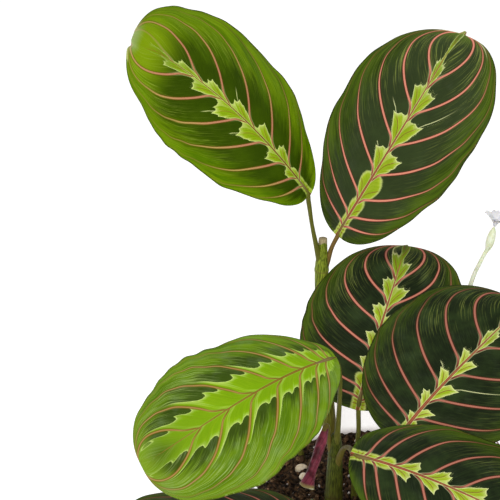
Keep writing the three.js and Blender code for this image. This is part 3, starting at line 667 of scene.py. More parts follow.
# What most leaves share. Angles: heading is the way the midrib runs, seen from above; pitch its rise at
# the base; droop how far it falls by the tip, and curl how much further there; sweep, bend, roll and
# twist turn it. Shares of the half width: bow is how deep the margins hang, lopside how unlike the sides
# are. Shown is the share of the length at which the blade ends, tuck how far that end bends down, dent a
# notch beside it, and round_until where the round lobes at the base stop. Pairs are for the left and the
# right side: veins holds the spacing at the tip and the number of the first side vein, lobes the reach of
# the lime at each lobe, and hairs the lobes that have a hairline, with its length.
PLAIN_LEAF = dict(
    skin="dark", sweep=0, bend=0, roll=0, twist=0, bow=0.12, lopside=0, curl=18, ripple=1, shown=0.998,
    tuck=0.4, frill=0.006, dent=0, round_until=0.14, gap=0, hairs=({}, {}), vein_tone=1, pale=0,
    less_dark=0)
LEAVES = {
    "leaf_upper_left": dict(
        skin="bright",
        stalk=[(-28.3, 70, 188, 2.6), (-29.4, 69.4, 198, 2.1), (-31, 68.5, 206, 1.6),
               (-34, 66, 222, 1.2), (-36, 64.4, 236, 1.4)],
        base=(-37, 64, 242.5), heading=179, pitch=55, droop=25, sweep=16, bend=-11, roll=25, twist=20,
        length=131, width=88, bow=0.16, lopside=0.07, curl=-10, ripple=1.2, phase=0.1, shown=0.972,
        tuck=2, frill=0.008, dent=1.4,
        veins=((0.15, 2.3), (0.15, 1.6)), round_until=0.05, hairs=({3: 2.5, 4: 4}, {3: 5}),
        lobes=((3, 6.8, 9.1, 12, 11.7, 7.6, 5, 3), (4, 7.3, 7.8, 7, 5.5, 4, 3))),
    "leaf_upper_right": dict(
        stalk=[(-28, 70, 190, 2.4), (-25.4, 70, 198, 1.8), (-22.8, 70, 207, 1.3)],
        base=(-19, 70, 216), heading=16, pitch=59, droop=14, sweep=31, bend=1, roll=-15, twist=14,
        length=131, width=102, bow=0.03, lopside=-0.04, curl=25, ripple=0.8, phase=0.4,
        veins=((0.16, 2.35), (0.16, 2.47)), round_until=0.25, gap=0.06, hairs=({3: 1, 4: 6}, {4: 15}),
        vein_tone=1.2, pale=0.5, less_dark=0.08,
        lobes=((4, 4.2, 6.9, 9.6, 11.2, 7.8, 3.2, 2), (5, 7.5, 10.7, 13.3, 13, 9.2, 4, 2))),
    "leaf_middle": dict(
        stalk=[(-11, -4, 77, 1.9), (-12, -8, 101, 1.8), (-12, -13, 122, 1.4), (-10.8, -14.5, 140, 1.3)],
        base=(-11, -14, 155), heading=74, pitch=36, droop=11, sweep=2, bend=-5, roll=-4, twist=7,
        length=108, width=87, bow=0.13, lopside=-0.04, curl=20, ripple=0.6, phase=0.7, tuck=1,
        veins=((0.16, 2.2), (0.16, 2.5)), round_until=0.15, gap=0.14,
        lobes=((5, 5.5, 6, 7, 8, 6.8, 6.5, 4), (5, 6, 6, 7, 8, 9.6, 6.5, 5))),
    "leaf_right": dict(
        stalk=[(6, -22, 77, 1.9), (6, -27, 101, 1.8), (5.5, -38, 130, 1.3), (6.3, -44.5, 147, 1.4)],
        base=(8, -45, 154), heading=47, pitch=30, droop=19, sweep=8, bend=-6, roll=-20, twist=3,
        length=114, width=97, bow=0.11, lopside=-0.04, curl=17, ripple=0.6, phase=0.2,
        veins=((0.17, 2.3), (0.218, 2.29)), round_until=0.03, gap=0.28, hairs=({3: 3}, {2: 24}),
        vein_tone=0.72, less_dark=-0.1,
        lobes=((3.4, 4.4, 6.3, 7.5, 5.9, 3.2, 2.2), (5, 8.4, 9.5, 7, 3.8, 2.5))),
    "leaf_lower_left": dict(
        skin="wide",
        stalk=[(-23.3, -31.7, 136, 2.4), (-22.8, -33.5, 148, 1.8), (-22.3, -36, 160, 1.4),
               (-22.2, -43, 183, 1.2), (-23.6, -48, 196, 1.4)],
        base=(-27, -50, 201.5), heading=197, pitch=-9, droop=27, sweep=-17, bend=17, roll=14, twist=24,
        length=113, width=81, bow=0.06, lopside=-0.05, curl=6, ripple=1.6, phase=0.3, shown=0.972,
        tuck=2.4, frill=0.012,
        veins=((0.15, 2.4), (0.15, 3.3)), round_until=-0.1,
        lobes=((9, 9, 9.7, 8.4, 9.4, 9.4, 7), (9, 11, 12.5, 13, 14.2, 13.4, 11.2, 8))),
    "leaf_front": dict(
        stalk=[(-23.5, -31.5, 126, 2.4), (-21.5, -35, 136, 1.9), (-19.6, -46, 148, 1.4),
               (-17.4, -62, 157, 1.4)],
        base=(-15.5, -77, 162), heading=-12, pitch=-9, droop=18, sweep=1, bend=-6, roll=-15, twist=-3,
        length=113, width=90, bow=0.13, lopside=0.01, curl=20, ripple=0.8, phase=0.6, tuck=1,
        veins=((0.16, 2.12), (0.16, 2.33)), round_until=0.15, gap=0.12, vein_tone=0.78,
        lobes=((4.5, 4.6, 7.6, 9.2, 9.4, 8, 5, 3), (4.2, 4.4, 7.8, 8.8, 8.6, 7, 5, 3))),
    "leaf_low_left": dict(
        stalk=[(-31, -38, 77, 1.9), (-33, -43, 101, 1.8), (-35, -55, 121, 1.4), (-37, -69, 129, 1.3)],
        base=(-38, -83, 128), heading=184, pitch=4, droop=11, bend=2, roll=4, twist=4,
        length=100, width=72, lopside=0.02, phase=0.5,
        veins=((0.15, 2.3), (0.15, 2.6))),
    "leaf_back_left": dict(
        stalk=[(-36, 30, 77, 1.8), (-40, 34, 101, 1.7), (-45, 38, 118, 1.3)],
        base=(-51, 44, 127), heading=150, pitch=8, droop=40,
        length=84, width=62, curl=16, phase=0.1,
        veins=((0.15, 2.3), (0.15, 2.6))),
    "leaf_back": dict(
        stalk=[(6, 30, 77, 1.9), (6, 36, 101, 1.8), (7, 48, 126, 1.3)],
        base=(9, 62, 138), heading=92, pitch=12, droop=40, roll=4,
        length=112, width=76, lopside=0.02, phase=0.8,
        veins=((0.15, 2.3), (0.15, 2.5))),
    "leaf_back_upper": dict(
        stalk=[(16, 32, 77, 1.9), (17, 38, 101, 1.8), (16, 48, 129, 1.4), (14, 63, 148, 1.3)],
        base=(12, 80, 156), heading=86, pitch=8, droop=34, sweep=4, roll=-4,
        length=100, width=68, lopside=0.02, phase=0.45,
        veins=((0.15, 2.4), (0.15, 2.8))),
    "leaf_back_right": dict(
        stalk=[(40.6, 44.6, 114, 2.4), (44, 53, 129, 1.6), (50, 65, 141, 1.3)],
        base=(58, 78, 148), heading=44, pitch=5, droop=30, twist=6,
        length=112, width=78, phase=0.3,
        veins=((0.16, 2.3), (0.16, 2.6))),
    "leaf_top_right": dict(
        skin="bright", stalk=[(85, 65.5, 201, 2), (90, 65, 213, 1.5), (94, 62, 227, 1.3)],
        base=(96, 57, 237), heading=2, pitch=42, droop=26, sweep=-12, bend=4, roll=-14, twist=10,
        length=116, width=80, lopside=0.03, phase=0.6,
        veins=((0.15, 2.3), (0.15, 2.65))),
    "leaf_upper_far_right": dict(
        stalk=[(76.4, 62.9, 181.4, 2), (81, 56, 191, 1.5), (85, 46, 201, 1.3)],
        base=(88, 35, 207), heading=-30, pitch=20, droop=30, bend=-4, roll=-6,
        length=118, width=82, lopside=-0.03, phase=0.9,
        veins=((0.16, 2.3), (0.16, 2.55))),
    "leaf_far_right": dict(
        stalk=[(36, -8, 77, 1.9), (40, -10, 101, 1.8), (56, -16, 130, 1.4), (72, -19, 149, 1.3)],
        base=(84, -20, 157), heading=-8, pitch=18, droop=32, sweep=6, roll=-8,
        length=116, width=80, lopside=0.03, phase=0.4,
        veins=((0.16, 2.4), (0.16, 2.7))),
    "leaf_low_right": dict(
        stalk=[(44, 10, 77, 1.8), (48, 11, 101, 1.7), (58, 14, 120, 1.3)],
        base=(72, 18, 128), heading=18, pitch=0, droop=34,
        length=98, width=70, curl=16, phase=0.2,
        veins=((0.15, 2.3), (0.15, 2.5))),
    "leaf_front_right": dict(
        stalk=[(34, -28, 77, 1.9), (38, -32, 101, 1.8), (47, -44, 122, 1.3)],
        base=(58, -58, 130), heading=-38, pitch=-2, droop=34, roll=4,
        length=106, width=74, lopside=0.02, phase=0.7,
        veins=((0.16, 2.4), (0.16, 2.75))),
    "leaf_front_left": dict(
        stalk=[(-14, -40, 77, 1.8), (-16, -45, 101, 1.7), (-21, -60, 121, 1.3), (-25, -72, 125, 1.3)],
        base=(-30, -84, 120), heading=232, pitch=-16, droop=34, bend=4,
        length=96, width=68, lopside=0.02, curl=16, phase=0.65,
        veins=((0.15, 2.3), (0.15, 2.6))),
    "leaf_front_low": dict(
        stalk=[(-2, -42, 77, 1.9), (-2, -47, 101, 1.8), (-1, -58, 120, 1.4), (0, -72, 127, 1.3)],
        base=(1, -86, 124), heading=-94, pitch=-6, droop=42, twist=4,
        length=106, width=74, phase=0.5,
        veins=((0.16, 2.3), (0.16, 2.55))),
}

# How far the lime reaches from the midrib at each lobe, in millimetres, from the base to the tip, on
# leaves that give no lobes of their own.
PLAIN_LOBES = ((3, 4.5, 7, 9.5, 10.5, 8, 4, 2), (4, 6, 9, 11, 10, 6.5, 3.5, 2))
# A lobe's outline from the side vein below it (0) to the one above it (1), as a share of that reach: most
# end in one long tooth, some in a broad one with smaller teeth above, and those at the base are rounded.
POINTED_LOBE = [(0, 0.26), (0.04, 0.44), (0.1, 0.62), (0.18, 0.7), (0.25, 0.82), (0.3, 0.88), (0.36, 1),
                (0.41, 0.8), (0.47, 0.68), (0.53, 0.6), (0.58, 0.56), (0.62, 0.42), (0.7, 0.3),
                (0.82, 0.23), (1, 0.2)]
TOOTHED_LOBE = [(0, 0.26), (0.04, 0.5), (0.1, 0.68), (0.15, 0.7), (0.2, 0.88), (0.25, 0.83), (0.3, 0.87),
                (0.36, 1), (0.42, 0.76), (0.5, 0.66), (0.56, 0.7), (0.6, 0.5), (0.68, 0.34),
                (0.82, 0.24), (1, 0.2)]
ROUND_LOBE = [(0, 0.6), (0.12, 0.78), (0.28, 0.93), (0.45, 1), (0.6, 0.95), (0.76, 0.8), (0.9, 0.64),
              (1, 0.58)]
# Where the lime is wide, each dark patch starts beside the vein below it with two round fingers, and the
# lime runs on out along the vein above it. The heights are shares of LOBE_LIMIT.
WIDE_LOBE = [(0, 0.5), (0.04, 0.42), (0.1, 0.365), (0.18, 0.35), (0.27, 0.37), (0.33, 0.44),
             (0.38, 0.46), (0.43, 0.42), (0.5, 0.38), (0.62, 0.37), (0.72, 0.39), (0.79, 0.46),
             (0.85, 0.68), (0.9, 1), (1, 1)]
LOBE_LIMIT = 2.5


def smooth(value):
    """0 below 0, 1 above 1, and an even S between them."""
    t = np.clip(value, 0, 1)
    return t * t * (3 - 2 * t)


def midrib(leaf, u):
    """The midrib's points and its directions along, across and out at shares u of the length. Pitch falls
    by droop, and by curl near the tip; heading turns by sweep and bows by bend; roll grows by twist. The
    points are the running sum of small steps along."""
    fine = np.linspace(0, 1, 121)
    tip_curl = leaf["curl"] * smooth((fine - TIP_CURL_START) / 0.18)
    pitch = np.radians(leaf["pitch"] - leaf["droop"] * fine - tip_curl)
    heading = np.radians(leaf["heading"] + leaf["sweep"] * fine + leaf["bend"] * 4 * fine * (1 - fine))
    roll = -np.radians(leaf["roll"] + leaf["twist"] * fine)[:, None]
    along = np.stack([np.cos(pitch) * np.cos(heading), np.cos(pitch) * np.sin(heading), np.sin(pitch)], -1)
    level = np.stack([np.sin(heading), -np.cos(heading), 0 * heading], -1)
    across = level * np.cos(roll) + np.cross(along, level) * np.sin(roll)
    out = np.cross(across, along)
    steps = along[:-1] * leaf["length"] / 120
    point = np.array(leaf["base"]) + np.vstack([[(0, 0, 0)], np.cumsum(steps, axis=0)])
    return [np.stack([np.interp(u, fine, values[:, i]) for i in range(3)], -1)
            for values in (point, along, across, out)]


def half_width(u):
    """The blade's half width as a share of its greatest: a full oval, a little wider in its outer half,
    and a short pointed tip."""
    share = np.minimum(u / BLADE_BODY_END, 1)
    oval = (4 * share * (1 - share)) ** BLADE_FULLNESS * (1 + BLADE_SKEW * (share - 0.5))
    tip = np.where(u > TIP_CURL_START, BLADE_TIP_WIDTH * np.minimum((1 - u) / BLADE_TIP_SHARE, 1) ** 0.8, 0)
    return np.maximum(np.maximum(oval, tip), 0.006)


def vein_phase(leaf, u, v):
    """Numbers the side veins: whole at each vein, growing to the tip. A vein that leaves the midrib at u0
    runs at u = u0 + (spread * sqrt(u0) - recoil) * -ln(1 - |v|), solved here for u0. Along the midrib the
    veins stand closer towards the base: number = first + ln(exp(u0 / spacing) - 1).
    Gives the numbers on the left and on the right, each with its own spacing, and u0."""
    reach = -np.log(1 - np.minimum(np.abs(v), 0.975))
    root = (-VEIN_SPREAD * reach + np.sqrt((VEIN_SPREAD * reach) ** 2 + 4 * (u + VEIN_RECOIL * reach))) / 2
    start = np.clip(root, 0.03, 1.02) ** 2
    left, right = (first + np.log(np.expm1(start / spacing)) for spacing, first in leaf["veins"])
    return left, right, start


def feather_reach(leaf, side, left, right):
    """The reach of the lobe between two side veins, from the leaf's table for its side of the midrib."""
    tables = leaf.get("lobes", PLAIN_LOBES)
    reach = [np.array(table)[np.clip(number.astype(int) - 1, 0, len(table) - 1)]
             for table, number in zip(tables, (left, right))]
    return np.where(side > 0, reach[1], reach[0])


def hair_reach(leaf, side, left, right):
    """How far a pale hairline runs on from the tip of the lobe, from the leaf's list of such lobes."""
    reach = [sum(length * (number.astype(int) == lobe + 1) for lobe, length in lobes.items()) + 0.0 * number
             for lobes, number in zip(leaf["hairs"], (left, right))]
    return np.where(side > 0, reach[1], reach[0])


def vein_spacing(number, by_row, by_column, u, v):
    """Millimetres from side vein to side vein: one over the steepness of their numbers N on the surface,
    the root of (G Nu^2 - 2 F Nu Nv + E Nv^2) / (E G - F^2). E, F and G are the products of the surface's
    slopes along u and v. The numbers jump at the midrib, which takes its neighbour's slope."""
    step_u, step_v = np.gradient(u, axis=0), np.gradient(v, axis=1)
    tangent_u, tangent_v = by_row / step_u[..., None], by_column / step_v[..., None]
    e = (tangent_u * tangent_u).sum(-1)
    f = (tangent_u * tangent_v).sum(-1)
    g = (tangent_v * tangent_v).sum(-1)
    slope_u, slope_v = np.gradient(number, axis=0) / step_u, np.gradient(number, axis=1) / step_v
    middle = number.shape[1] // 2
    slope_v[:, middle - 1:middle + 2] = slope_v[:, middle + 3:middle + 4]
    steepness = g * slope_u**2 - 2 * f * slope_u * slope_v + e * slope_v**2
    steepness /= np.maximum(e * g - f * f, 1e-9)
    return 1 / np.sqrt(np.maximum(steepness, 1e-4))


def sheet_faces(rows, columns):
    """Faces of a closed sheet: the upper grid, a rim, and the lower grid, whose points come after the
    upper one's. Gives the faces and the number of the first lower one."""
    count = rows * columns
    upper = np.array(grid_faces(rows, columns))
    index = np.arange(count).reshape(rows, columns)
    rim = np.concatenate([index[0, :-1], index[:-1, -1], index[-1, :0:-1], index[:0:-1, 0]])
    after = np.roll(rim, -1)
    wall = np.stack([after, rim, rim + count, after + count], -1)
    faces = np.vstack([upper, wall, upper[:, ::-1] + count]).tolist()
    return faces, len(upper) + len(wall)


def blade(leaf, seed):
    """The blade's shell: a grid over u along and v across. A point lies half_width * v out to the side,
    bowed down by its square, rippled by its cube towards the margins, and raised between the veins."""
    rows, columns = FINE_GRID if "lobes" in leaf else COARSE_GRID
    t = np.linspace(0, 1, rows)
    u = (0.45 * t + 0.55 * (1 - np.cos(np.pi * t)) / 2) * leaf["shown"]
    v = np.linspace(-1, 1, columns)
    v = v * (0.8 + 0.2 * v * v)
    point, along, across, out = (values[:, None] for values in midrib(leaf, u))
    u, v = np.meshgrid(u, v, indexing="ij")
    half = leaf["width"] / 2
    frill = leaf["frill"]
    nibble = 0.994 - frill + frill * waves(9 * u, 3 * np.sign(v) + 0 * u, 1.0, seed)
    share = half_width(u) * v * nibble
    side = half * share
    wave = np.sin(2 * np.pi * (RIPPLES * u + leaf["phase"] + 0.25 * np.sign(v)))
    ripple = leaf["ripple"] * wave * np.abs(v) ** 3
    left, right, start = vein_phase(leaf, u, v)
    hug = VEIN_HUG * np.exp(-((side / VEIN_HUG_WIDTH) ** 2))
    left, right = left + hug, right + hug
    number = np.where(v > 0, right, left)
    between = (1 - np.cos(2 * np.pi * number)) / 2
    calm = smooth(np.abs(side) / 7) * (1 - smooth((np.abs(v) - 0.7) / 0.3)) * (1 - smooth((u - 0.8) / 0.15))
    rise = ripple - leaf["bow"] * half * share**2 + QUILT_HEIGHT * between * calm
    retreat = BASE_LOBE * v**2 * (1 - u) ** 10
    notch = np.exp(-(((side - NOTCH_PLACE) / NOTCH_WIDTH) ** 2))
    retreat = retreat + leaf["dent"] * notch * smooth((u - 0.9) / 0.06)
    rise = rise - leaf["tuck"] * smooth((u - TUCK_START) / 0.055) ** 2
    middle = (point + across * (side * (1 + leaf["lopside"] * v))[..., None] + out * rise[..., None]
              - along * retreat[..., None])
    by_row, by_column = np.gradient(middle, axis=0), np.gradient(middle, axis=1)
    normal = np.cross(by_column, by_row)
    normal /= np.linalg.norm(normal, axis=-1, keepdims=True)
    thick = BLADE_THICKNESS / 2 * (1 - 0.6 * np.abs(v) ** 6)[..., None]
    rib = RIB_DEPTH * (1 - 0.85 * u) * np.exp(-((side / (RIB_WIDTH - 0.8 * u)) ** 2))
    top, bottom = middle + normal * thick, middle - normal * (thick + rib[..., None])
    spacing = vein_spacing(number, by_row, by_column, u, v)
    run = np.hypot((u - start) * leaf["length"], side)
    base_band = 1 - smooth((start - leaf["round_until"]) / 0.05)
    fields = {
        "along": u, "across": v, "side": side, "start": start, "run": run,
        "vein_left": left, "vein_right": right, "vein_spacing": spacing,
        "reach": feather_reach(leaf, side, left, right), "base_band": base_band,
        "hair": hair_reach(leaf, side, left, right),
        "gap": leaf["gap"] * (1 - smooth((start - 0.5) / 0.15)),
        "leaf_number": 0 * u + seed, "vein_tone": 0 * u + leaf["vein_tone"],
        "paleness": 0 * u + leaf["pale"], "less_dark": 0 * u + leaf["less_dark"],
    }
    points = np.vstack([top.reshape(-1, 3), bottom.reshape(-1, 3)])
    fields = {name: np.tile(values.ravel(), 2) for name, values in fields.items()}
    faces, under_from = sheet_faces(*u.shape)
    return points, faces, fields, under_from


def blade_skin(name, look):
    """The upper skin. From the ground up: green with paler streaks that follow the veins, dark green
    between the veins, the lime feather with its pale edge, and the veins and midrib."""
    finish = Finish(name)
    math, mix, step, field = finish.math, finish.mix, finish.step, finish.field
    where = finish.place()
    along, side, run, start = field("along"), field("side"), field("run"), field("start")
    out, from_rib = abs(field("across")), abs(side)
    on_right, leaf_number = math("GREATER_THAN", side, 0.0), field("leaf_number")
    sides = {0: on_right, 2: field("vein_left"), 3: field("vein_right")}
    number = finish.node("ShaderNodeMix", sides, 0)
    spacing = field("vein_spacing")
    below = math("FLOOR", number)
    part = number - below

    def streaks(across_scale, along_scale, detail):
        """Noise drawn out along the veins, that many times finer than their spacing."""
        shift = leaf_number * 3.7 + on_right * 7.0
        at = {"X": number * across_scale, "Y": run * along_scale, "Z": shift}
        at = finish.node("ShaderNodeCombineXYZ", at)
        return finish.node("ShaderNodeTexNoise", {"Vector": at, "Scale": 1.0, "Detail": detail})

    def chance(offset):
        """A number from 0 to 1 of its own for each lobe."""
        shift = math("MULTIPLY_ADD", leaf_number, 5.3, on_right * 31.0)
        at = finish.node("ShaderNodeCombineXYZ", {"X": below, "Y": shift, "Z": offset})
        return finish.node("ShaderNodeTexWhiteNoise", {"Vector": at}, "Value")

    broad, fine, thread = streaks(3.2, 0.03, 2.0), streaks(30.0, 0.14, 2.0), streaks(36.0, 0.04, 1.0)
    cloud = finish.noise(where, 14, 3)

    # Green ground, with pale streaks in its outer part that follow the veins.
    green = mix(cloud, look["green"], look["green_light"])
    green = mix(step(broad, 0.4, 0.66), green, look["green_deep"])
    green = mix(step(start, 0.5, 0.85), green, look["green_light"])
    green = mix(step(fine, 0.42, 0.7) * 0.3, green, look["green_light"])
    # Painted shade: a darker line along the margin, where the blade curves away.
    green = mix(step(out, 0.972, 1.0), green, look["margin"])
    outer = math("MAXIMUM", step(out, 0.25, 0.65), finish.scale(start, 0.62, 0.8, 0.0, 0.55))
    pale = step(thread, 0.56, 0.62) * outer * step(fine, 0.3, 0.6)
    pale = pale * finish.scale(start, *look["streaks_from"], 0.12, 1.0)

    # Dark green between the veins, which ends outwards in a ragged edge.
    low, high = look["dark_reach"]
    ragged = out + finish.scale(on_right, 0.0, 1.0, look["left_short"], 0.0) + field("less_dark")
    ragged = ragged + finish.scale(broad, 0.3, 0.7, -0.14, 0.14)
    ragged = ragged + finish.scale(fine, 0.3, 0.7, -0.05, 0.05)
    shade = step(ragged, high, low) * step(along, *look["dark_end"])
    dark = mix(step(cloud, 0.4, 0.75), look["dark"], look["dark_light"])
    dark = mix(step(fine, 0.4, 0.75) * 0.4, dark, look["dark_light"])
    dark = mix(field("paleness"), dark, look["dark_pale"])
    skin = mix(shade, green, dark)
    skin = mix(pale * look["streaks"], skin, look["streak"])
    # A painted highlight: pale silvery patches of sheen over the skin.
    sheen = step(finish.noise(where, 11, 3), 0.5, 0.72) * step(fine, 0.25, 0.7)
    skin = mix(sheen * look["painted_sheen"], skin, (0.3, 0.38, 0.24))

    # The lime feather: its lobes' outlines over the place between two side veins, which is pushed a little
    # one way or the other in each lobe, and how far inside the outline a point lies, measured across it.
    shift = finish.scale(chance(1.5), 0.0, 1.0, -0.07, 0.07)
    place = part + part * (1.0 - part) * (shift * 4.0)
    outlines = look["lobes"]
    toothed = step(chance(2.5), 0.55, 0.65)
    limit = field("reach") * look["lobe_limit"]
    base_band = field("base_band")

    def reach_at(place):
        """How far the lime reaches from the midrib at this place between two side veins."""
        outline = mix(toothed, finish.profile(place, outlines[0]), finish.profile(place, outlines[1]))
        outline = finish.scale(outline, field("gap"), 1.0, 0.0, 1.0)
        outline = mix(base_band, outline, finish.profile(place, outlines[2]))
        if not look["bays"]:
            outline = mix(step(start, 0.14, 0.07), outline, (0.8, 0.8, 0.8))
        return outline * limit

    reach = reach_at(place)
    slope = (reach_at(place + 0.015) - reach) / (spacing * 0.015)
    steep = math("SQRT", slope * slope + 1.0)
    hairy = finish.scale(start, 0.06, 0.3, look["hair"], min(look["hair"], 0.35))
    hairy = hairy + step(start, 0.62, 0.86) * (look["hair"] * 0.6)
    jag = (fine - 0.5) * hairy
    feather = (reach - from_rib) / steep + jag
    soft = base_band * 0.6
    inside = step(feather, -0.1 - soft, 0.12 + soft)
    inside = inside * step(start, *look["feather_end"])
    if look["bays"]:
        inside = inside * step(out, 0.66, 0.42)
    # Its colour, paler towards the outline and duller towards the tip.
    lime = mix(step(fine, 0.3, 0.72), look["lime"], look["lime_light"])
    lime = mix(step(cloud, 0.45, 0.7) * 0.5, lime, look["lime"])
    lime = mix(step(feather, 0.8, 3.0) * 0.4, lime, look["lime_tip"])
    lime = mix(step(feather, 1.6, 0.3) * 0.3, lime, look["edge"])
    lime = mix(step(along, 0.5, 0.9) * 0.85, lime, look["lime_tip"])
    skin = mix(inside, skin, lime)
    to_tip = step(from_rib / field("reach"), 0.15, 0.9)
    edge = step(feather, look["edge_width"], 0.05) * (to_tip * 0.6 + 0.4)
    edge = edge * (step(start, 0.02, 0.16) * (base_band * -0.8 + 1.0))
    skin = mix(edge * inside * look["edge_strength"], skin, look["edge"])

    # A reddish spur up the middle of each lobe, and a pale hairline that runs on from the tips of some.
    spur_place = math("MINIMUM", from_rib / field("reach"), 1.0) * 0.17 + 0.28
    off_spur = abs(place - spur_place) * spacing
    spur = step(off_spur, 0.36, 0.12) * step(feather, 0.3, 1.2)
    skin = mix(spur * look["spurs"], skin, look["vein_edge"])
    long = field("hair")
    hair = step(from_rib - field("reach"), long + 0.01, long * 0.3)
    hair = hair * (step(feather, 0.1, -0.1) * math("GREATER_THAN", long, 0.5))
    hair = hair * step(off_spur, 0.34, 0.1)
    skin = mix(hair * look["hairlines"], skin, look["edge"])

    # Side veins: cords with darker edges, thinner at both ends, between a pale and a dark band.
    nearest = math("ROUND", number)
    off_vein = abs(number - nearest) * spacing
    swell = finish.scale(from_rib, 0.0, 7.0, look["vein_root"], 1.0)
    swell = swell * finish.scale(out, 0.45, 0.95, 1.0, 0.4)
    half = swell * (look["vein_width"] / 2)
    lit = half - off_vein
    real = step(nearest, 0.4, 1.0) * step(start, 0.84, 0.74)
    reached = start * 0.25 + out
    fade = step(reached, 1.12, look["vein_fade"]) * real
    vein = step(lit, -0.16, 0.06) * fade
    core = step(lit, 0.02, 0.26) * step(from_rib, 0.8, 5.0)
    far = step(out, *look["far"])
    cord_edge = mix(far, look["vein_edge"], look["vein_far_edge"])
    cord = mix(core, cord_edge, mix(far, look["vein"], look["vein_far"]))
    cord = finish.dim(cord, field("vein_tone"))
    halo = step(lit, -0.7, -0.05) * (real * step(from_rib, 9.0, 2.0))
    skin = mix(halo * look["halo"], skin, look["edge"])
    shadow = step(lit, -0.75, -0.05) * (fade * step(from_rib, 4.0, 10.0))
    skin = mix(shadow * 0.6, skin, look["vein_shadow"])
    skin = mix(vein * look["vein_strength"], skin, cord)

    # The midrib: a bundle of strands that narrows to the tip.
    rib_half = finish.scale(along, 0.0, 0.75, look["rib_width"], look["rib_width"] * 0.3)
    on_rib = rib_half - from_rib
    rib = step(on_rib, -0.12, 0.1) * step(along, 0.93, 0.78)
    strands = math("COSINE", side * look["strands"]) * 0.5 + 0.5
    strands = strands * finish.scale(broad, 0.3, 0.7, 0.5, 1.0)
    beside = step(on_rib, -0.7, 0.0) * step(along, 0.85, 0.65)
    skin = mix(beside * look["halo"], skin, look["edge"])
    skin = mix(rib, skin, mix(strands, look["rib_edge"], look["rib"]))

    # A painted highlight: a pale sheen where the tip folds away.
    at_tip = step(along, 0.925, 0.975) * step(from_rib, 13.0, 3.0)
    skin = mix(at_tip * look["painted_tip_highlight"], skin, (0.42, 0.48, 0.34))

    height = vein * 0.5 + rib * 0.7 + fine * 0.25 + finish.noise(where, 0.8, 2) * 0.12
    gloss = finish.scale(cloud, 0.3, 0.7, 0.42, 0.52)
    return finish.done(Base_Color=skin, Roughness=gloss, Normal=finish.relief(height, 0.2),
                       Specular_IOR_Level=0.07, Specular_Tint=look["sheen"])


def under_skin():
    """Wine red clouds, duller at the margins and paler on the side veins, which lie at whole numbers."""
    finish = Finish("leaf_underside")
    where = finish.place()
    number, spacing = finish.field("vein_left"), finish.field("vein_spacing")
    nearest = abs(number - finish.math("ROUND", number))
    vein = finish.step(nearest * spacing, 0.55, 0.2)
    cloud = finish.noise(where, 9, 4)
    wine = finish.mix(finish.step(cloud, 0.3, 0.7), (0.12, 0.018, 0.045), (0.21, 0.04, 0.075))
    out = abs(finish.field("across"))
    wine = finish.mix(finish.step(out, 0.8, 1.0) * 0.5, wine, (0.11, 0.1, 0.04))
    wine = finish.mix(vein * 0.7, wine, (0.26, 0.09, 0.06))
    rib = finish.step(abs(finish.field("side")), 1.6, 0.6)
    wine = finish.mix(rib, wine, (0.3, 0.2, 0.07))
    height = vein * 0.6 + cloud * 0.4
    return finish.done(Base_Color=wine, Roughness=0.52, Normal=finish.relief(height, 0.3))


def leaf_stalk_skin():
    """Lines drawn out along the stalk, green to tan by the hue field, with a brown knee under the blade."""
    finish = Finish("leaf_stalk_skin")
    where = finish.place()
    share, angle, hue = finish.field("share"), finish.field("angle"), finish.field("hue")
    across, other = finish.math("SINE", angle) * 2.0, finish.math("COSINE", angle) * 2.0
    at = finish.node("ShaderNodeCombineXYZ", {"X": across, "Y": other, "Z": share * 9.0})
    lines = finish.node("ShaderNodeTexNoise", {"Vector": at, "Scale": 2.5, "Detail": 3.0})
    green = finish.mix(lines, (0.03, 0.042, 0.004), (0.15, 0.19, 0.02))
    tan = finish.mix(lines, (0.08, 0.04, 0.01), (0.28, 0.16, 0.05))
    skin = finish.mix(hue, green, tan)
    knee = finish.step(share, 0.8, 0.92)
    skin = finish.mix(knee * 0.75, skin, finish.mix(lines, (0.12, 0.075, 0.03), (0.3, 0.2, 0.09)))
    gloss = finish.scale(finish.noise(where, 5, 2), 0.3, 0.7, 0.38, 0.56)
    return finish.done(Base_Color=skin, Roughness=gloss, Normal=finish.relief(lines, 0.12),
                       Specular_IOR_Level=0.15, Specular_Tint=(1, 0.95, 0.6))


def stalk_section(share, angle):
    """Round, with a shallow groove along one side and a knee that swells just under the blade."""
    groove = -0.07 * np.exp(-((angle - np.pi / 2) / 0.4) ** 2)
    knee = 0.1 * smooth((share - 0.74) / 0.1) * (1 - smooth((share - 0.93) / 0.05))
    return 0.95 + groove + knee + 0.012 * np.sin(11 * angle)
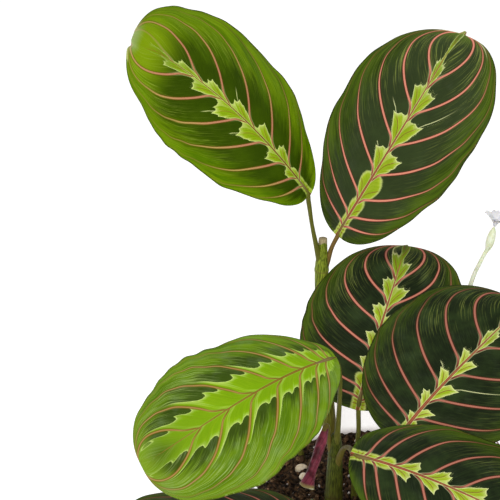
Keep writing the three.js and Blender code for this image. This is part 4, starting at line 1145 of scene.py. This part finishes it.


# The looks of the three upper skins, in linear colours and from the ground up: the greens, with the margin's
# painted shade; the pale streaks, the painted highlights of the silvery sheen and at the tip, and the
# specular tint; the dark between the veins and the shares across and along at which it ends; the lime and
# its edge; the outlines of its lobes, hairs and spurs; the side veins, whose far ends have their own
# colours; their widths in millimetres and fades; and the midrib.
DARK_LEAF = dict(
    green=(0.038, 0.072, 0.003), green_light=(0.085, 0.145, 0.006), green_deep=(0.022, 0.042, 0.003),
    margin=(0.02, 0.026, 0.003),
    streak=(0.42, 0.5, 0.1), streaks=0.65, streaks_from=(0.3, 0.75), painted_sheen=0.03, painted_tip_highlight=0.0,
    sheen=(1, 0.97, 0.5),
    dark=(0.0085, 0.0145, 0.006), dark_light=(0.024, 0.042, 0.012), dark_pale=(0.044, 0.064, 0.02),
    dark_reach=(0.64, 1.0), dark_end=(1.0, 0.9), left_short=0.0,
    lime=(0.28, 0.4, 0.01), lime_light=(0.42, 0.52, 0.035), lime_tip=(0.17, 0.28, 0.006),
    feather_end=(0.97, 0.88), edge=(0.8, 0.82, 0.4), edge_width=0.5, edge_strength=0.85,
    lobes=(POINTED_LOBE, TOOTHED_LOBE, ROUND_LOBE), lobe_limit=1.0, bays=False, hair=1.0, spurs=0.8,
    hairlines=0.7,
    vein=(0.57, 0.21, 0.14), vein_edge=(0.2, 0.035, 0.025), vein_far=(0.36, 0.16, 0.08),
    vein_far_edge=(0.13, 0.06, 0.02), vein_shadow=(0.06, 0.015, 0.01),
    vein_width=1.3, vein_root=0.8, vein_fade=0.8, vein_strength=1.0, far=(0.6, 0.95), halo=0.45,
    rib=(0.45, 0.16, 0.08), rib_edge=(0.22, 0.045, 0.02), rib_width=0.95, strands=8.0)
BRIGHT_LEAF = dict(
    green=(0.095, 0.2, 0.0005), green_light=(0.185, 0.29, 0.003), green_deep=(0.06, 0.135, 0.0005),
    margin=(0.035, 0.05, 0.002),
    streak=(0.36, 0.46, 0.06), streaks=0.45, streaks_from=(0.1, 0.7), painted_sheen=0.0, painted_tip_highlight=0.34,
    sheen=(1, 0.97, 0.2),
    dark=(0.024, 0.052, 0.0004), dark_light=(0.038, 0.076, 0.0008), dark_pale=(0.1, 0.2, 0.001),
    dark_reach=(0.32, 0.82), dark_end=(0.9, 0.72), left_short=-0.2,
    lime=(0.22, 0.36, 0.003), lime_light=(0.34, 0.47, 0.012), lime_tip=(0.14, 0.26, 0.003),
    feather_end=(0.9, 0.74), edge=(0.74, 0.8, 0.3), edge_width=0.5, edge_strength=0.75,
    lobes=(POINTED_LOBE, TOOTHED_LOBE, ROUND_LOBE), lobe_limit=1.0, bays=False, hair=0.9, spurs=0.6,
    hairlines=0.6,
    vein=(0.5, 0.21, 0.12), vein_edge=(0.24, 0.09, 0.02), vein_far=(0.44, 0.3, 0.09),
    vein_far_edge=(0.2, 0.15, 0.02), vein_shadow=(0.09, 0.055, 0.002),
    vein_width=1.2, vein_root=0.55, vein_fade=0.68, vein_strength=0.95, far=(0.25, 0.7), halo=0.4,
    rib=(0.3, 0.15, 0.025), rib_edge=(0.13, 0.06, 0.008), rib_width=0.55, strands=9.0)
WIDE_LEAF = dict(
    green=(0.09, 0.185, 0.002), green_light=(0.17, 0.28, 0.012), green_deep=(0.07, 0.15, 0.002),
    margin=(0.07, 0.1, 0.008),
    streak=(0.4, 0.52, 0.16), streaks=0.55, streaks_from=(0.02, 0.4), painted_sheen=0.17, painted_tip_highlight=0.0,
    sheen=(1, 0.98, 0.35),
    dark=(0.03, 0.058, 0.004), dark_light=(0.05, 0.095, 0.01), dark_pale=(0.1, 0.2, 0.001),
    dark_reach=(0.5, 0.76), dark_end=(0.96, 0.84), left_short=0.18,
    lime=(0.175, 0.35, 0.001), lime_light=(0.24, 0.41, 0.004), lime_tip=(0.14, 0.26, 0.006),
    feather_end=(0.92, 0.72), edge=(0.62, 0.74, 0.22), edge_width=0.45, edge_strength=0.65,
    lobes=(WIDE_LOBE, WIDE_LOBE, WIDE_LOBE), lobe_limit=LOBE_LIMIT, bays=True, hair=0.12, spurs=0.1,
    hairlines=0.0,
    vein=(0.36, 0.2, 0.06), vein_edge=(0.2, 0.1, 0.012), vein_far=(0.4, 0.27, 0.11),
    vein_far_edge=(0.21, 0.14, 0.025), vein_shadow=(0.1, 0.085, 0.004),
    vein_width=1.0, vein_root=0.7, vein_fade=0.8, vein_strength=0.9, far=(0.4, 0.85), halo=0.12,
    rib=(0.32, 0.2, 0.035), rib_edge=(0.17, 0.09, 0.008), rib_width=0.7, strands=8.0)
skins = {
    "dark": blade_skin("leaf_dark_skin", DARK_LEAF),
    "bright": blade_skin("leaf_bright_skin", BRIGHT_LEAF),
    "wide": blade_skin("leaf_wide_skin", WIDE_LEAF),
}
underside = under_skin()
stalk_skin = leaf_stalk_skin()

for seed, (node, own) in enumerate(LEAVES.items(), start=20):
    leaf = {**PLAIN_LEAF, **own}
    points, faces, fields, under_from = blade(leaf, seed)
    slot = "leaf_dark" if leaf["skin"] == "dark" else "leaf_bright"
    new_piece(node.replace("leaf_", "blade_"), points, faces, [skins[leaf["skin"]], underside], node,
              fields, under_from)
    point, along, across, out = midrib(leaf, np.array([0.0, 0.1]))
    # The stalk runs on under the blade as the root of the midrib.
    under = [(*(point[i] - out[i] * 0.5), radius) for i, radius in enumerate((1.3, 0.6))]
    points, faces, share, angle = rod([*leaf["stalk"], *under], 70, 28, stalk_section)
    hue = np.full(len(points), STALK_HUES.get(node, PLAIN_STALK_HUE))
    new_piece(node.replace("leaf_", "stalk_"), points, faces, [stalk_skin], node,
              {"share": share, "angle": angle, "hue": hue})


# ---- Rolled leaf ---------------------------------------------------------------------------------
# The youngest leaf is still rolled up like a scroll, magenta outside and pale green within, and hangs
# from the front stem on a short stalk of its own. It widens to an open, ragged end.
ROLL_AXIS = [(-29, -38, 155), (-32, -43, 147), (-35.5, -49, 138.5), (-39, -55.5, 130)]
ROLL_STALK = [(-23.8, -31, 128, 2), (-26.4, -32, 142, 1.5), (-27.6, -34, 153, 1.2)]
ROLL_RADII = [0.9, 1.9, 1.7, 1.5, 2.6]  # of its innermost turn, evenly spaced from top to end
ROLL_TURNS = 1.3
ROLL_PITCH = 1.0


def shell(middle, thickness):
    """A closed sheet round a grid of points, whose upper and lower points lie half the thickness off it.
    Gives points, faces and the number of the first lower face."""
    normal = np.cross(np.gradient(middle, axis=1), np.gradient(middle, axis=0))
    normal /= np.maximum(np.linalg.norm(normal, axis=-1, keepdims=True), 1e-9)
    points = [(middle + normal * thickness / 2 * way).reshape(-1, 3) for way in (1, -1)]
    faces, lower_from = sheet_faces(*middle.shape[:2])
    return np.vstack(points), faces, lower_from


def scroll():
    """A sheet wound round the roll's axis: at share s down it and t round it, its radius is the
    inner one at s, plus the pitch for each turn, more at the end, and the turn is t times the turns."""
    rows, columns = 60, 110
    s = np.linspace(0, 1, rows)
    t = np.linspace(0, 1, columns)
    axis = smooth_path(ROLL_AXIS, rows)
    level, up, along = path_frames(axis)
    s, t = np.meshgrid(s, t, indexing="ij")
    turns = t * ROLL_TURNS
    angle = -turns * 2 * np.pi
    radius = smooth_path([(r,) for r in ROLL_RADII], rows) + ROLL_PITCH * turns * (0.6 + 0.9 * s**4)
    radius = radius + 0.3 * s * np.sin(9 * t + 4 * s)
    ragged = (0.8 * np.sin(7 * t) + 0.5 * np.sin(17 * t + 1)) * s**6
    end = along[:, None] * (ragged + 0.9 * s**6)[..., None]
    middle = (axis[:, None] + level[:, None] * (radius * np.cos(angle))[..., None]
              + up[:, None] * (radius * np.sin(angle))[..., None] - end)
    points, faces, inner_from = shell(middle, 0.45)
    return points, faces, inner_from, np.tile(s.ravel(), 2), np.tile(t.ravel(), 2)


def young_skin(name, deep, light, margin):
    """Silky young leaf: fine slanting veins on a mottled ground, turning pale at the margins."""
    finish = Finish(name)
    s, t = finish.field("down"), finish.field("round")
    slant = t * 60.0 + s * 26.0
    veins = finish.step(finish.math("SINE", slant), 0.55, 0.95)
    cloud = finish.noise(finish.place(), 3.5, 4)
    skin = finish.mix(finish.step(cloud, 0.3, 0.7), deep, light)
    skin = finish.mix(veins * 0.4, skin, deep)
    to_edge = finish.math("MINIMUM", t, 1.0 - t)
    rim = finish.math("MAXIMUM", finish.step(to_edge, 0.05, 0.015), finish.step(s, 0.93, 0.99))
    skin = finish.mix(rim * 0.85, skin, margin)
    return finish.done(Base_Color=skin, Roughness=0.42, Normal=finish.relief(veins, 0.12),
                       Sheen_Weight=0.08, Sheen_Roughness=0.4, Specular_IOR_Level=0.2)


roll_points, roll_faces, inner_from, down, round_ = scroll()
roll_skins = [young_skin("young_leaf_inside", (0.16, 0.2, 0.06), (0.34, 0.4, 0.16), (0.5, 0.5, 0.3)),
              young_skin("young_leaf_outside", (0.07, 0.01, 0.015), (0.27, 0.045, 0.075), (0.35, 0.3, 0.1))]
new_piece("young_leaf", roll_points, roll_faces, roll_skins, "leaf_rolled",
          {"down": down, "round": round_}, inner_from)
neck = [(*ROLL_AXIS[0], 1.7), (*ROLL_AXIS[1], 0.7)]
points, faces, share, angle = rod([*ROLL_STALK, *neck], 50, 24, stalk_section)
new_piece("young_leaf_stalk", points, faces, [stalk_skin], "leaf_rolled",
          {"share": share, "angle": angle, "hue": np.full(len(points), 0.5)})


# ---- Flower --------------------------------------------------------------------------------------
# One small white flower on a thin pale stalk: petals as thin as tissue open from a slender green bract.
FLOWER_STALK = [(28, 30, 77, 1.5), (31, 36, 101, 1.4), (41, 50, 150, 1.2), (52.5, 60, 189, 1.2),
                (57, 60, 202, 1.1), (60.5, 60, 210, 1.1)]
FLOWER_LEAN = np.radians(12)
BRACT_LENGTH = 16
BRACT_RADIUS = 2.4
BRACT_OVERLAP = 2
PETAL_COUNT = 5
PETAL_SPREAD = 6.75
PETAL_RISE = 4
PETAL_WIDTH = 6
PETAL_CUP = 0.8
BLOOM_CORE_RADIUS = 1.3
BLOOM_CORE_HEIGHT = 2.1


def flower_paint(name, low, high, veins, bright):
    """Pale tissue: noise between two colours, and fine lines at the peaks of sin(veins * line)."""
    finish = Finish(name)
    where = finish.place()
    cloud = finish.noise(where, 2.5, 3)
    lines = finish.step(finish.math("SINE", finish.field("line") * veins), 0.6, 1.0)
    colour = finish.mix(finish.step(cloud, 0.3, 0.7), low, high)
    colour = finish.mix(lines * 0.25, colour, low)
    return finish.done(Base_Color=colour, Roughness=0.55, Normal=finish.relief(lines, 0.06),
                       Subsurface_Weight=bright, Subsurface_Radius=(0.004, 0.003, 0.002),
                       Subsurface_Scale=0.3)


def leaned(points):
    """Turns points about Y by the flower's lean and carries them to the stalk's end."""
    cos, sin = np.cos(FLOWER_LEAN), np.sin(FLOWER_LEAN)
    turned_points = np.asarray(points) @ np.array([[cos, 0, -sin], [0, 1, 0], [sin, 0, cos]])
    return turned_points + np.array(FLOWER_STALK[-1][:3]) + (0, 0, -BRACT_OVERLAP)


bract_paint = flower_paint("flower_stalk_skin", (0.74, 0.8, 0.52), (0.88, 0.92, 0.74), 12.0, 0.2)
petal_paint = flower_paint("petal_tissue", (0.84, 0.83, 0.85), (0.96, 0.95, 0.96), 40.0, 0.3)
points, faces, share, angle = rod(FLOWER_STALK, 80, 20)
new_piece("flower_stem", points, faces, [bract_paint], "flower_stalk", {"line": angle})
bract_height = np.linspace(0, 1, 40)
bract_radius = BRACT_RADIUS * np.sin(np.pi * bract_height) ** 0.7
bract_profile = np.stack([bract_radius, bract_height * BRACT_LENGTH], -1)
points, faces = turned(bract_profile, 32)
line = np.arctan2(points[:, 1], points[:, 0])
new_piece("flower_bract", leaned(points), faces, [bract_paint], "flower_stalk", {"line": line})

share, across = np.meshgrid(np.linspace(0, 1, 24), np.linspace(-1, 1, 17), indexing="ij")
half = PETAL_WIDTH / 2 * np.sin(np.pi * (0.12 + 0.8 * share)) ** 0.8
rise = PETAL_RISE * share * (2 - share) + PETAL_CUP * across**2 * share
rise += 0.12 * np.sin(9 * across) * share**3
petal = np.stack([half * across, PETAL_SPREAD * share, rise], -1)
points, faces, _ = shell(petal, 0.3)
core_centre = np.array([0, 0, BRACT_LENGTH + BLOOM_CORE_HEIGHT])
petals = []
for number in range(PETAL_COUNT):
    turn = number / PETAL_COUNT * 2 * np.pi
    spin = np.array([[np.cos(turn), np.sin(turn), 0], [-np.sin(turn), np.cos(turn), 0], [0, 0, 1]])
    petals.append(points @ spin + core_centre)
petal_faces = np.array(faces)
bloom_faces = np.vstack([petal_faces + len(points) * number for number in range(PETAL_COUNT)]).tolist()
bloom_line = np.tile(np.tile(across.ravel(), 2), PETAL_COUNT)
new_piece("flower_petals", leaned(np.vstack(petals)), bloom_faces, [petal_paint], "flower_bloom",
          {"line": bloom_line})
core_share = np.linspace(0, 1, 20)
core_profile = np.stack([BLOOM_CORE_RADIUS * np.sin(np.pi * core_share),
                         -BLOOM_CORE_HEIGHT * np.cos(np.pi * core_share)], -1)
points, faces = turned(core_profile, 24)
new_piece("flower_core", leaned(points + core_centre), faces, [petal_paint], "flower_bloom",
          {"line": np.arctan2(points[:, 1], points[:, 0])})
